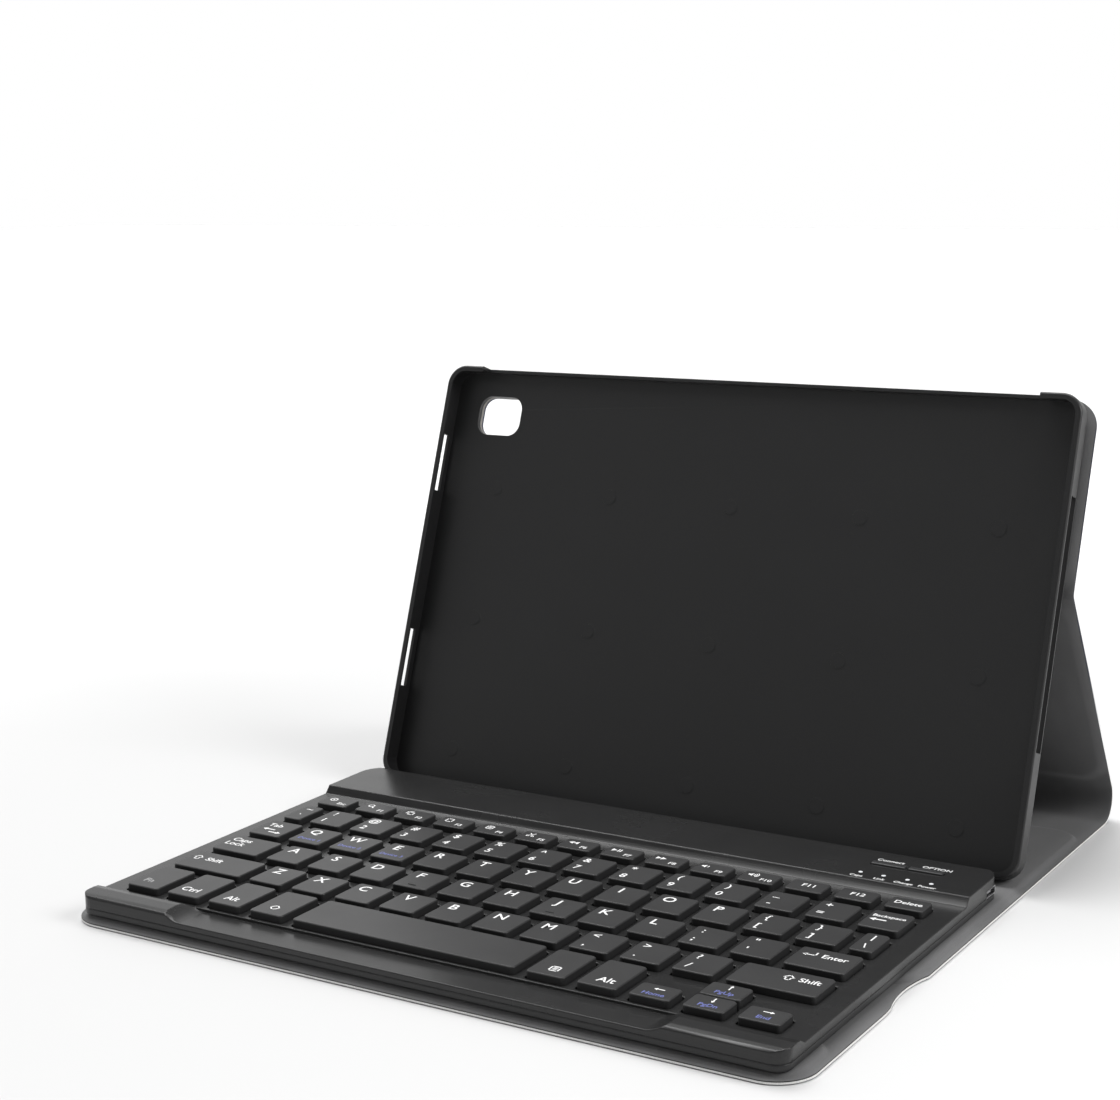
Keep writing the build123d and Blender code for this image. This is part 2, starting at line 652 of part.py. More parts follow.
with BuildPart() as rubber_domes:
    with Locations(*[(x, y, MEMBRANE_TOP) for x, y, _, _ in all_keys]):
        Cone(DOME_RADIUS, DOME_TOP_RADIUS, DOME_HEIGHT,
             align=(Align.CENTER, Align.CENTER, Align.MIN))
save(rubber_domes, "rubber_domes")

SCISSOR_BAR = 0.9
SCISSOR_OFFSET = 4.0
scissor_places = [
    (x + side * SCISSOR_OFFSET, y, MEMBRANE_TOP)
    for x, y, width, _ in all_keys if width > NARROW_WIDTH for side in (-1, 1)
]
with BuildPart() as scissor_hinges:
    with Locations(*scissor_places):
        Box(SCISSOR_BAR, HALF_DEPTH - 3.2, SCISSOR_BAR,
            align=(Align.CENTER, Align.CENTER, Align.MIN))
save(scissor_hinges, "scissor_hinges")

# ================================================================ electronics in the rear block
BOARD_LEFT = 24.0
BOARD_RIGHT = 113.5
BOARD_FRONT = BLOCK_Y + 3.2
BOARD_REAR = KB_REAR - KB_WALL - 1.0
with BuildPart() as control_board:
    with BuildSketch(Plane.XY.offset(FLOOR_Z)):
        with Locations(((BOARD_LEFT + BOARD_RIGHT) / 2, (BOARD_FRONT + BOARD_REAR) / 2)):
            Rectangle(BOARD_RIGHT - BOARD_LEFT, BOARD_REAR - BOARD_FRONT)
        with Locations((BOARD_RIGHT + 2.5, PORT_Y)):
            Rectangle(5.0, PORT_WIDTH + 2.0)
    extrude(amount=PCB)
save(control_board, "control_board")

BATTERY_WIDTH = 62.0
BATTERY_DEPTH = 19.0
BATTERY_HEIGHT = 3.6
BATTERY_X = -52.0
with BuildPart() as battery:
    with BuildSketch(Plane.XY.offset(FLOOR_Z)):
        with Locations((BATTERY_X, (BOARD_FRONT + BOARD_REAR) / 2)):
            RectangleRounded(BATTERY_WIDTH, BATTERY_DEPTH, 1.5)
    extrude(amount=BATTERY_HEIGHT)
    chamfer(faces().sort_by(Axis.Z)[-1].edges(), 0.5)
save(battery, "battery")

PORT_DEPTH = 6.0
with BuildPart() as charging_port:
    with Locations((KB_HALF_WIDTH - 0.3 - PORT_DEPTH / 2, PORT_Y, PORT_Z + 1.3)):
        Box(PORT_DEPTH, PORT_WIDTH - 0.3, 2.6)
    with Locations((KB_HALF_WIDTH - 0.3 - PORT_DEPTH / 2 + 0.6, PORT_Y, PORT_Z + 1.3)):
        Box(PORT_DEPTH - 0.6, PORT_WIDTH - 1.1, 1.9, mode=Mode.SUBTRACT)
    with Locations((KB_HALF_WIDTH - 0.3 - PORT_DEPTH / 2, PORT_Y, PORT_Z + 1.2)):
        Box(PORT_DEPTH - 1.4, 3.6, 0.5)
save(charging_port, "charging_port")

BUTTON_FOOT = 7.4
for name, x in zip(("connect_button", "option_button"), BUTTON_X):
    with BuildPart() as button:
        with BuildSketch(Plane.XY.offset(BUTTON_FOOT)):
            with Locations((x, BUTTON_Y)):
                RectangleRounded(BUTTON_LENGTH, BUTTON_WIDTH, 0.5)
        extrude(amount=BLOCK_Z + BUTTON_PROUD - BUTTON_FOOT)
        fillet(faces().sort_by(Axis.Z)[-1].edges(), 0.35)
    save(button, name)

with BuildPart() as tact_switches:
    with Locations(*[(x, BUTTON_Y, PCB_TOP) for x in BUTTON_X]):
        Box(3.6, 2.8, 1.6, align=(Align.CENTER, Align.CENTER, Align.MIN))
        Cylinder(0.8, 2.4, align=(Align.CENTER, Align.CENTER, Align.MIN))
save(tact_switches, "tact_switches")

LED_HEIGHT = 0.7
with BuildPart() as status_leds:
    with Locations(*[(x, LED_Y, PCB_TOP) for x in LED_X]):
        Box(1.6, 0.9, LED_HEIGHT, align=(Align.CENTER, Align.CENTER, Align.MIN))
save(status_leds, "status_leds")

light_pipes = make_discs(
    Plane.XY.offset(PCB_TOP + LED_HEIGHT + 0.1),
    [(x, LED_Y) for x in LED_X],
    LED_RADIUS,
    BLOCK_Z - PCB_TOP - LED_HEIGHT - 0.05,
)
save(light_pipes, "light_pipes")

SWITCH_KNOB = 3.4
with BuildPart() as power_switch:
    with Locations((-KB_HALF_WIDTH - 0.6, SWITCH_Y - SWITCH_SLOT / 2 + 0.3, PORT_Z + 0.15)):
        Box(3.9, SWITCH_KNOB, 2.2, align=(Align.MIN, Align.MIN, Align.MIN))
save(power_switch, "power_switch")

with BuildPart() as switch_housing:
    with Locations((-KB_HALF_WIDTH + 3.5, SWITCH_Y, FLOOR_Z)):
        Box(3.6, SWITCH_SLOT + 2.0, 3.6, align=(Align.MIN, Align.CENTER, Align.MIN))
save(switch_housing, "switch_housing")

KEYBOARD_MAGNET_Y = KB_REAR - 13.5
keyboard_magnets = make_discs(
    Plane.XY.offset(FLOOR_Z), [(-106, KEYBOARD_MAGNET_Y), (8, KEYBOARD_MAGNET_Y)], MAGNET_RADIUS, 1.5
)
save(keyboard_magnets, "keyboard_magnets")
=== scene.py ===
"""Looks of a tablet keyboard case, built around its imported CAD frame.

The cover's leather and lining replace the CAD panels, as sheets shaped round the folds.
The tray and the keyboard keep their CAD shapes and get their finishes here, with printed
legends on the caps.  Everything is in metres, in the frame of the CAD model: +X to the
typist's right, +Y to the back, +Z up.
"""
import json
from math import atan2, cos, pi, radians, sin, tan

import bmesh
import bpy
import numpy as np
from mathutils import Matrix, Vector


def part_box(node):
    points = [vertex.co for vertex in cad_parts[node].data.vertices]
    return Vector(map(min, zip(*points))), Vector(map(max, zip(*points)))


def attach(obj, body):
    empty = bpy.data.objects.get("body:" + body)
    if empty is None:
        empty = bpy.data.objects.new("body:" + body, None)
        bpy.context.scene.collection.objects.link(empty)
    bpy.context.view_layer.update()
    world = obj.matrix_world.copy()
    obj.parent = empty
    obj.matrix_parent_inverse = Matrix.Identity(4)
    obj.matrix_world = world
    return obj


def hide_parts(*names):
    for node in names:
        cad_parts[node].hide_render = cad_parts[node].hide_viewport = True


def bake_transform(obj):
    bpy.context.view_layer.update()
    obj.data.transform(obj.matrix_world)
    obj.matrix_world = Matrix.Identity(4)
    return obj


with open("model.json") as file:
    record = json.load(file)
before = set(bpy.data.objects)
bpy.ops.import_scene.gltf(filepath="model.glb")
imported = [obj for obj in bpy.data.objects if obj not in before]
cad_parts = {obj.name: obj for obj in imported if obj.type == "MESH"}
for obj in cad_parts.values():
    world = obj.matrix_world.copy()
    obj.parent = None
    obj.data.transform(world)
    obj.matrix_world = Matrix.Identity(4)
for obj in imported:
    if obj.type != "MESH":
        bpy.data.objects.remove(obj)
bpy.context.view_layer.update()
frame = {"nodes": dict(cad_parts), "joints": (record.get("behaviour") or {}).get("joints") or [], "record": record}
nodes = frame["nodes"]
joints = {joint["name"]: joint for joint in frame["joints"]}
body_of_node = {
    node: body for body, members in frame["record"]["behaviour"]["bodies"].items() for node in members
}
slot_of_node = {part["node"]: part["material_slot"] for part in frame["record"]["subparts"]}
MM = 0.001


def make_object(name, data):
    """New object in the scene, with its data."""
    piece = bpy.data.objects.new(name, data)
    bpy.context.scene.collection.objects.link(piece)
    return piece


# ================ node trees
class Graph:
    """A node tree, with a short call for each kind of node that is used here."""

    def __init__(self, tree):
        self.nodes = tree.nodes
        self.links = tree.links

    def feed(self, socket, value):
        """Link an output to a socket, or set the socket's own value."""
        if isinstance(value, bpy.types.NodeSocket):
            self.links.new(value, socket)
        else:
            socket.default_value = value

    def split(self, vector):
        """The X, Y and Z outputs of a vector."""
        node = self.nodes.new("ShaderNodeSeparateXYZ")
        self.feed(node.inputs[0], vector)
        return node.outputs

    def vector(self, operation, first, second):
        """Sum, difference or product of two vectors."""
        node = self.nodes.new("ShaderNodeVectorMath")
        node.operation = operation
        self.feed(node.inputs[0], first)
        self.feed(node.inputs[1], second)
        return node.outputs["Vector"]

    def length(self, vector):
        """Length of a vector."""
        node = self.nodes.new("ShaderNodeVectorMath")
        node.operation = "LENGTH"
        self.feed(node.inputs[0], vector)
        return node.outputs["Value"]

    def number(self, operation, first, second):
        """Result of an operation on two numbers."""
        node = self.nodes.new("ShaderNodeMath")
        node.operation = operation
        self.feed(node.inputs[0], first)
        self.feed(node.inputs[1], second)
        return node.outputs["Value"]

    def ramp(self, value, start, end, low=0.0, high=1.0):
        """Smooth step of a value from low to high."""
        node = self.nodes.new("ShaderNodeMapRange")
        node.interpolation_type = "SMOOTHSTEP"
        self.feed(node.inputs["Value"], value)
        for name, number in (("From Min", start), ("From Max", end), ("To Min", low), ("To Max", high)):
            node.inputs[name].default_value = number
        return node.outputs["Result"]


class Shader(Graph):
    """One material, built up around its Principled shader."""

    EDGE_SAMPLES = 6

    def __init__(self, name, colour, roughness, **sockets):
        self.material = bpy.data.materials.new(name)
        self.material.use_nodes = True
        super().__init__(self.material.node_tree)
        self.surface = self.nodes["Principled BSDF"]
        self.surface.inputs["Base Color"].default_value = (*colour, 1)
        self.surface.inputs["Roughness"].default_value = roughness
        for socket, value in sockets.items():
            self.surface.inputs[socket.replace("_", " ")].default_value = value

    def place(self, kind, stretch=(1, 1, 1)):
        """Texture place in metres, stretched along its axes."""
        mapping = self.nodes.new("ShaderNodeMapping")
        self.feed(mapping.inputs["Vector"], self.nodes.new("ShaderNodeTexCoord").outputs[kind])
        mapping.inputs["Scale"].default_value = stretch
        return mapping.outputs["Vector"]

    def noise(self, place, scale, detail=2.0, output="Fac"):
        """Cloudy noise, with a scale per metre."""
        texture = self.nodes.new("ShaderNodeTexNoise")
        self.feed(texture.inputs["Vector"], place)
        texture.inputs["Scale"].default_value = scale
        texture.inputs["Detail"].default_value = detail
        return texture.outputs[output]

    def cell_edges(self, place, scale):
        """Distance to the nearest border of random cells."""
        texture = self.nodes.new("ShaderNodeTexVoronoi")
        texture.feature = "DISTANCE_TO_EDGE"
        self.feed(texture.inputs["Vector"], place)
        texture.inputs["Scale"].default_value = scale
        return texture.outputs["Distance"]

    def tint(self, factor, first, second):
        """Mix of two colours; either may be an output."""
        node = self.nodes.new("ShaderNodeMix")
        node.data_type = "RGBA"
        self.feed(node.inputs["Factor"], factor)
        for socket, colour in ((node.inputs["A"], first), (node.inputs["B"], second)):
            self.feed(socket, (*colour, 1) if isinstance(colour, tuple) else colour)
        return node.outputs["Result"]

    def paint(self, socket, value):
        """Feed one of the Principled shader's sockets."""
        self.feed(self.surface.inputs[socket], value)

    def bump(self, height, depth, strength=1.0, edge=0.0):
        """Relief, over edges that shade as if rounded by a radius."""
        node = self.nodes.new("ShaderNodeBump")
        if edge:
            rounding = self.nodes.new("ShaderNodeBevel")
            rounding.samples = self.EDGE_SAMPLES
            rounding.inputs["Radius"].default_value = edge
            self.links.new(rounding.outputs["Normal"], node.inputs["Normal"])
        node.inputs["Strength"].default_value = strength
        node.inputs["Distance"].default_value = depth
        self.feed(node.inputs["Height"], height)
        self.paint("Normal", node.outputs["Normal"])


def scaled(colour, factor, lift=0.0):
    """Lighter or darker colour, with each part at most 1."""
    return tuple(min(1.0, factor * part + lift) for part in colour)


# ================ camera and stage
CAMERA_PLACE = Vector((346.4, -581.5, 236.4)) * MM
CAMERA_AZIMUTH = radians(31.91)   # how far the view turns from +Y towards -X
CAMERA_PITCH = radians(10.64)     # how far it looks down
CAMERA_ROLL = radians(1.02)
CAMERA_LENS = 68.9                # for a 36 mm sensor
CAMERA_NEAREST = 0.01

FLOOR_HALF = 5.0
FLOOR_DROP = 0.1 * MM             # below what the case rests on
# painted shade: the floor is darker near the case, evening out the lamps' pool of light there
FLOOR_SHADED_NEAR = (0.66, 0.66, 0.66)  # near the case
FLOOR_AROUND = (0.95, 0.95, 0.95)
FLOOR_FADE = (0.22, 0.85)         # distances from the origin where one turns into the other

# Square area lights: name, place, target, size and power.
SOFT_LIGHTS = [
    ("key_light", (-0.75, 0.42, 1.2), (0, 0, 0.03), 0.8, 4.0),
    ("side_light", (1.05, 0.15, 0.85), (0.05, 0.0, 0.03), 0.7, 9.5),
]
SKY_POWER = 2.55
SKY_SPREAD = radians(50)
SKY_DIRECTION = Vector((0.28, -0.2, -1))

# The surroundings as a light: the strength goes from one number to another as a part of
# the direction passes between two values.  (start, end, strength before, strength after)
WORLD_FADES = {
    "Z": (0.30, 0.75, 1.0, 0.32),
    "Y": (-0.6, 0.2, 0.4, 1.0),
    "X": (-0.1, 0.6, 1.0, 0.4),
}


def make_camera():
    """Camera at the photograph's viewing angle."""
    forward = Vector((
        -sin(CAMERA_AZIMUTH) * cos(CAMERA_PITCH),
        cos(CAMERA_AZIMUTH) * cos(CAMERA_PITCH),
        -sin(CAMERA_PITCH),
    ))
    level = Vector((cos(CAMERA_AZIMUTH), sin(CAMERA_AZIMUTH), 0))
    down = forward.cross(level)
    right = cos(CAMERA_ROLL) * level + sin(CAMERA_ROLL) * down
    up = sin(CAMERA_ROLL) * level - cos(CAMERA_ROLL) * down
    turn = Matrix((right, up, -forward)).transposed().to_4x4()
    data = bpy.data.cameras.new("camera")
    data.lens = CAMERA_LENS
    data.clip_start = CAMERA_NEAREST
    camera = make_object("camera", data)
    camera.matrix_world = Matrix.Translation(CAMERA_PLACE) @ turn
    bpy.context.scene.camera = camera


def aim(light, along):
    """Turn a light to shine along a direction."""
    light.rotation_euler = along.to_track_quat("-Z", "Y").to_euler()


def make_lights():
    """Two soft area lights and a broad light from the sky."""
    for name, place, target, size, power in SOFT_LIGHTS:
        data = bpy.data.lights.new(name, "AREA")
        data.size = size
        data.energy = power
        light = make_object(name, data)
        light.location = place
        aim(light, Vector(target) - Vector(place))
    sky = bpy.data.lights.new("sky_light", "SUN")
    sky.energy = SKY_POWER
    sky.angle = SKY_SPREAD
    aim(make_object("sky_light", sky), SKY_DIRECTION)


def make_surroundings():
    """White to look at; as a light, dimmer overhead, in front and on the right."""
    world = bpy.data.worlds.new("surroundings")
    world.use_nodes = True
    graph = Graph(world.node_tree)
    direction_parts = graph.split(graph.nodes.new("ShaderNodeTexCoord").outputs["Generated"])
    strength = 1.0
    for axis, fade in WORLD_FADES.items():
        strength = graph.number("MULTIPLY", strength, graph.ramp(direction_parts[axis], *fade))
    seen = graph.nodes.new("ShaderNodeLightPath").outputs["Is Camera Ray"]
    background = graph.nodes["Background"]
    graph.feed(background.inputs["Color"], (1, 1, 1, 1))
    graph.feed(background.inputs["Strength"], graph.number("MAXIMUM", strength, seen))
    bpy.context.scene.world = world


def make_floor():
    """Pale floor with painted shade: darker near the case, whiter away from it."""
    corners = ((-1, -1), (1, -1), (1, 1), (-1, 1))
    mesh = bpy.data.meshes.new("floor")
    mesh.from_pydata([(x * FLOOR_HALF, y * FLOOR_HALF, -FLOOR_DROP) for x, y in corners], [], [(0, 1, 2, 3)])
    floor = make_object("floor", mesh)
    shader = Shader("floor_paint", FLOOR_AROUND, 0.9)
    away = shader.ramp(shader.length(shader.place("Object")), *FLOOR_FADE)
    shader.paint("Base Color", shader.tint(away, FLOOR_SHADED_NEAR, FLOOR_AROUND))
    mesh.materials.append(shader.material)


def make_stage():
    """Floor, surroundings and lights."""
    make_floor()
    make_surroundings()
    make_lights()
    bpy.context.scene.view_settings.view_transform = "Standard"


# ================ materials
NAVY = (0.031, 0.047, 0.118)
CLOTH_GREY = (0.155, 0.155, 0.157)
KEY_BLACK = (0.026, 0.026, 0.0265)
PALE_BACKING = (0.95, 0.95, 0.93)
# colour of the painted shade along the stand's cut edge, and of the edge's dark fibre flecks
EDGE_SHADE_AND_FLECKS = (0.014, 0.017, 0.028)
CASE_EDGE = 0.7 * MM          # radius that the case's edges seem rounded by
CAP_EDGE = 0.35 * MM
# where the cut edge's painted shade begins and where it is complete
EDGE_SHADE_START = 0.285      # along the cover from its front edge
EDGE_SHADE_END = 0.325


def leather(name, colour):
    """Artificial leather: small creased plates, drawn out along the hide, with a soft sheen."""
    shader = Shader(name, colour, 0.5, Specular_IOR_Level=0.42, Sheen_Weight=0.06, Sheen_Roughness=0.4)
    flat = shader.place("UV")
    warped = flat
    for scale, reach in ((45, 11 * MM), (420, 1.6 * MM)):
        drift = shader.vector("SUBTRACT", shader.noise(flat, scale, output="Color"), (0.5, 0.5, 0.5))
        warped = shader.vector("ADD", warped, shader.vector("MULTIPLY", drift, (reach, reach, 0)))
    drawn = shader.vector("MULTIPLY", warped, (0.62, 1.3, 1.0))
    plates = shader.ramp(shader.cell_edges(drawn, scale=900), 0.0, 0.24)
    fine = shader.noise(flat, scale=2600)
    wrinkles = shader.noise(shader.vector("MULTIPLY", warped, (0.42, 1.25, 1.0)), scale=760, detail=3)
    height = shader.number("MULTIPLY", plates, 0.55)
    for layer, share in ((fine, 0.25), (wrinkles, 1.1)):
        height = shader.number("ADD", height, shader.number("MULTIPLY", layer, share))
    shader.bump(height, 0.30 * MM)
    # painted shade: the colour darkens in the creases between the plates, so the plate tops read lighter
    tone = shader.tint(plates, scaled(colour, 0.55), colour)
    cloud = shader.ramp(shader.noise(flat, scale=26, detail=3), 0.35, 0.7, high=0.22)
    shader.paint("Base Color", shader.tint(cloud, tone, scaled(colour, 1.18)))
    shader.paint("Roughness", shader.ramp(wrinkles, 0.3, 0.7, 0.42, 0.6))
    return shader.material


def microfibre(name, colour):
    """Short napped lining cloth, with painted shade between its fibres."""
    shader = Shader(name, colour, 0.85, Sheen_Weight=0.35, Sheen_Roughness=0.45, Specular_IOR_Level=0.3)
    flat = shader.place("UV")
    nap = shader.noise(flat, scale=5200, detail=3)
    grain = shader.noise(flat, scale=1500)
    shader.bump(shader.number("ADD", nap, shader.number("MULTIPLY", grain, 0.8)), 0.07 * MM, 0.8)
    brushed = shader.ramp(shader.noise(shader.place("UV", (1, 0.45, 1)), scale=70, detail=4), 0.35, 0.7)
    tone = shader.tint(brushed, scaled(colour, 0.92), scaled(colour, 1.07))
    # painted shade: a fine near-black speckle over the nap stands for the shade between the fibres
    fibre_gap_shade = shader.ramp(nap, 0.3, 0.7, high=0.35)
    shader.paint("Base Color", shader.tint(fibre_gap_shade, tone, (0.012, 0.012, 0.012)))
    return shader.material


def moulded(name, colour, roughness, grain, relief, clouds=0.03, hairline=False, edge=0.0, **sockets):
    """Moulded plastic, rubber or ink with a fine texture, or with hairlines along X.

    grain is the texture's scale per metre, relief its depth, and clouds how far the
    roughness varies.
    """
    shader = Shader(name, colour, roughness, **sockets)
    place = shader.place("Object")
    if hairline:
        texture = shader.noise(shader.place("Object", (0.012, 1, 1)), grain, detail=3)
    else:
        texture = shader.noise(place, grain)
    shader.bump(texture, relief, 0.7, edge)
    patches = shader.noise(place, scale=45, detail=3)
    shader.paint("Roughness", shader.ramp(patches, 0.3, 0.7, roughness - clouds, roughness + clouds))
    light = scaled(colour, 1.35, 0.002)
    shader.paint("Base Color", shader.tint(shader.ramp(texture, 0.35, 0.65, high=0.5), colour, light))
    return shader.material


def ink(name, colour):
    """Printing ink on the caps and the deck."""
    return moulded(name, colour, 0.5, grain=5000, relief=0.008 * MM)


def metal(name, colour, roughness, grain=2500, stretch=(1, 1, 1)):
    """Bare or plated metal with fine directional scratches."""
    shader = Shader(name, colour, roughness, Metallic=1.0)
    scratches = shader.noise(shader.place("Object", stretch), grain)
    shader.bump(scratches, 0.006 * MM, 0.6)
    shader.paint("Roughness", shader.ramp(scratches, 0.3, 0.7, roughness - 0.08, roughness + 0.1))
    return shader.material


def cut_edge(name, backing, paint):
    """Raw edge of the leather's pale backing, with painted shade darkening it from the stand upwards."""
    shader = Shader(name, backing, 0.8)
    along = shader.split(shader.place("UV"))["Y"]
    fibres = shader.noise(shader.place("UV"), scale=3000)
    shader.bump(fibres, 0.02 * MM, 0.5)
    # painted shade: the paint colour darkens the cut edge from the stand upwards
    painted = shader.tint(shader.ramp(along, EDGE_SHADE_START, EDGE_SHADE_END), backing, paint)
    shader.paint("Base Color", shader.tint(shader.ramp(fibres, 0.3, 0.7, high=0.15), painted, paint))
    return shader.material


def pressed_board(name, colour):
    """Grey pressed board with fibres."""
    shader = Shader(name, colour, 0.9)
    fibres = shader.noise(shader.place("Object", (1, 4, 1)), scale=700, detail=4)
    shader.bump(fibres, 0.05 * MM, 0.6)
    shader.paint("Base Color", shader.tint(shader.ramp(fibres, 0.35, 0.65), scaled(colour, 0.75), colour))
    return shader.material


def circuit_board(name, colour):
    """Solder mask over copper tracks."""
    shader = Shader(name, colour, 0.35, Coat_Weight=0.3)
    tracks = shader.ramp(shader.cell_edges(shader.place("Object"), scale=260), 0.02, 0.05)
    shader.paint("Base Color", shader.tint(tracks, scaled(colour, 1.8), colour))
    shader.bump(tracks, 0.03 * MM, 0.5)
    return shader.material


def make_materials():
    """Material for each of the record's slots, and for the sheets' rims and the inks."""
    return {
        "outer_leather": leather("navy_leather", NAVY),
        "lining_cloth": microfibre("grey_microfibre", CLOTH_GREY),
        "cut_edge": cut_edge("cut_edge", PALE_BACKING, EDGE_SHADE_AND_FLECKS),
        # painted shade: the lining's cut rim is near-black, standing in for the shade along the lining's edge
        "shaded_lining_rim": moulded("shaded_lining_rim", (0.008, 0.008, 0.008), 0.7, grain=3000, relief=0.02 * MM),
        "greyboard": pressed_board("greyboard", (0.42, 0.40, 0.37)),
        "tray_plastic": moulded(
            "tray_plastic", (0.013, 0.013, 0.0134), 0.42, grain=3600, relief=0.022 * MM, clouds=0.015
        ),
        "deck_plastic": moulded(
            "deck_plastic", (0.016, 0.016, 0.0162), 0.25, grain=2200, relief=0.015 * MM, hairline=True,
            edge=CASE_EDGE, Specular_IOR_Level=0.38
        ),
        "case_plastic": moulded(
            "case_plastic", (0.016, 0.016, 0.0165), 0.38, grain=3000, relief=0.015 * MM,
            edge=CASE_EDGE, Specular_IOR_Level=0.38
        ),
        "keycap_plastic": moulded(
            "keycap_plastic", KEY_BLACK, 0.42, grain=3800, relief=0.012 * MM,
            edge=CAP_EDGE, Specular_IOR_Level=0.36
        ),
        "button_plastic": moulded("button_plastic", (0.03, 0.03, 0.031), 0.36, grain=3000, relief=0.01 * MM),
        "circuit_board": circuit_board("circuit_board", (0.015, 0.12, 0.04)),
        "steel": metal("steel", (0.56, 0.56, 0.57), 0.32, grain=3000, stretch=(0.05, 1, 1)),
        "magnet": metal("magnet_plating", (0.72, 0.72, 0.74), 0.2),
        "silicone": moulded(
            "silicone", (0.62, 0.62, 0.60), 0.5, grain=2000, relief=0.02 * MM, Subsurface_Weight=0.2
        ),
        "hinge_plastic": moulded("hinge_plastic", (0.55, 0.55, 0.53), 0.5, grain=2500, relief=0.02 * MM),
        "membrane_film": moulded("membrane_film", (0.42, 0.46, 0.42), 0.35, grain=900, relief=0.01 * MM),
        "battery_foil": metal("battery_foil", (0.62, 0.63, 0.65), 0.38, grain=900),
        "lamp_plastic": moulded("lamp_plastic", (0.75, 0.77, 0.80), 0.25, grain=3000, relief=0.01 * MM),
        "tape": moulded("foam_tape", (0.05, 0.05, 0.05), 0.9, grain=2500, relief=0.05 * MM),
        "white_ink": ink("white_ink", (0.80, 0.80, 0.80)),
        "grey_ink": ink("grey_ink", (0.34, 0.34, 0.345)),
        "blue_ink": ink("blue_ink", (0.12, 0.14, 0.38)),
    }


# ================ cover: run of its fold surface
SKIN = 0.8 * MM
BOARD = 1.2 * MM
LINING = 0.4 * MM
CORNER = 12.5 * MM
TOP_CORNER = 9.5 * MM
BOARD_CORNER = 8.0 * MM
SPINE_RADIUS = 7.8 * MM
FOLD_RADIUS = 2.5 * MM        # bend of the fold surface at the upper fold
TRAY_FLOOR = 1.2 * MM         # thickness of the tray's floor
TRAY_ANGLE = radians(70)      # tilt of the upper panel from +Y
WAIST_DEPTH = 2.2 * MM
WAIST_RADIUS = 46.0 * MM

HALF_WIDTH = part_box("flap_skin")[1].x
FRONT_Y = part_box("flap_skin")[0].y
BOARD_HALF_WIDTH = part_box("cover_board")[1].x
WAIST_X = HALF_WIDTH - WAIST_DEPTH + WAIST_RADIUS
flap_fold, wrap_fold, crease, upper_fold = (
    Vector(joints[name]["pos_m"]) for name in ("flap_fold", "wrap_fold", "stand_fold", "tray_fold")
)
STAND_ANGLE = atan2(upper_fold.z - crease.z, upper_fold.y - crease.y)


def direction(angle):
    """Unit vector in the YZ plane, at an angle from +Y."""
    return Vector((0, cos(angle), sin(angle)))


TRAY_UP = direction(TRAY_ANGLE)
TRAY_OUT = direction(TRAY_ANGLE + pi / 2)     # out of the tray's floor, on its open side


def extent_along(node, origin, along):
    """How far a node reaches from a point, low and high, along a direction."""
    reaches = [(vertex.co - origin).dot(along) for vertex in nodes[node].data.vertices]
    return min(reaches), max(reaches)


spine_centre = crease - direction(STAND_ANGLE - pi / 2) * SPINE_RADIUS
stand_length = (upper_fold - crease).length
panel_length = extent_along("back_skin", upper_fold, TRAY_UP)[1]
fold_turn = STAND_ANGLE - TRAY_ANGLE
fold_tangent = FOLD_RADIUS * tan(fold_turn / 2)

# Straight and round stretches from the front edge to the top edge: length and curvature.
STRETCHES = [
    (spine_centre.y - FRONT_Y, 0.0),
    (SPINE_RADIUS * STAND_ANGLE, 1 / SPINE_RADIUS),
    (stand_length - fold_tangent, 0.0),
    (FOLD_RADIUS * fold_turn, -1 / FOLD_RADIUS),
    (panel_length - fold_tangent, 0.0),
]
SPINE_S, CREASE_S, BEND_S, BEND_END_S, TOP_S = np.cumsum([length for length, _ in STRETCHES])
FLAP_S = flap_fold.y - FRONT_Y
WRAP_S = wrap_fold.y - FRONT_Y
UPPER_S = (BEND_S + BEND_END_S) / 2
ROUNDING = 1e-9               # slack at the start of a stretch


def along_stretch(gone, angle, curvature):
    """Y and Z gone, and the new angle, after a distance along a stretch from its start."""
    turned = angle + curvature * gone
    if not curvature:
        return gone * cos(angle), gone * sin(angle), turned
    return (np.sin(turned) - sin(angle)) / curvature, (cos(angle) - np.cos(turned)) / curvature, turned


def along_cover(run):
    """Y, Z and direction angle of the fold surface at distances along it from the front edge."""
    run = np.asarray(run, float)
    y, z, angle = (np.zeros_like(run) for _ in range(3))
    start, start_y, start_z, start_angle = 0.0, FRONT_Y, SKIN, 0.0
    for length, curvature in STRETCHES:
        here = run >= start - ROUNDING
        gone_y, gone_z, turned = along_stretch(run - start, start_angle, curvature)
        y = np.where(here, start_y + gone_y, y)
        z = np.where(here, start_z + gone_z, z)
        angle = np.where(here, turned, angle)
        gone_y, gone_z, start_angle = along_stretch(length, start_angle, curvature)
        start_y += gone_y
        start_z += gone_z
        start += length
    return y, z, angle


def board_runs():
    """Low and high end of each stiffening board along the cover."""
    flap, cover = (
        [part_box(node)[end].y - FRONT_Y for end in (0, 1)] for node in ("flap_board", "cover_board")
    )
    stand = [CREASE_S + reach for reach in extent_along("stand_board", crease, direction(STAND_ANGLE))]
    after_fold = BEND_END_S - fold_tangent
    back = [after_fold + reach for reach in extent_along("back_board", upper_fold, TRAY_UP)]
    return [flap, cover, stand, back]


BOARD_RUNS = board_runs()


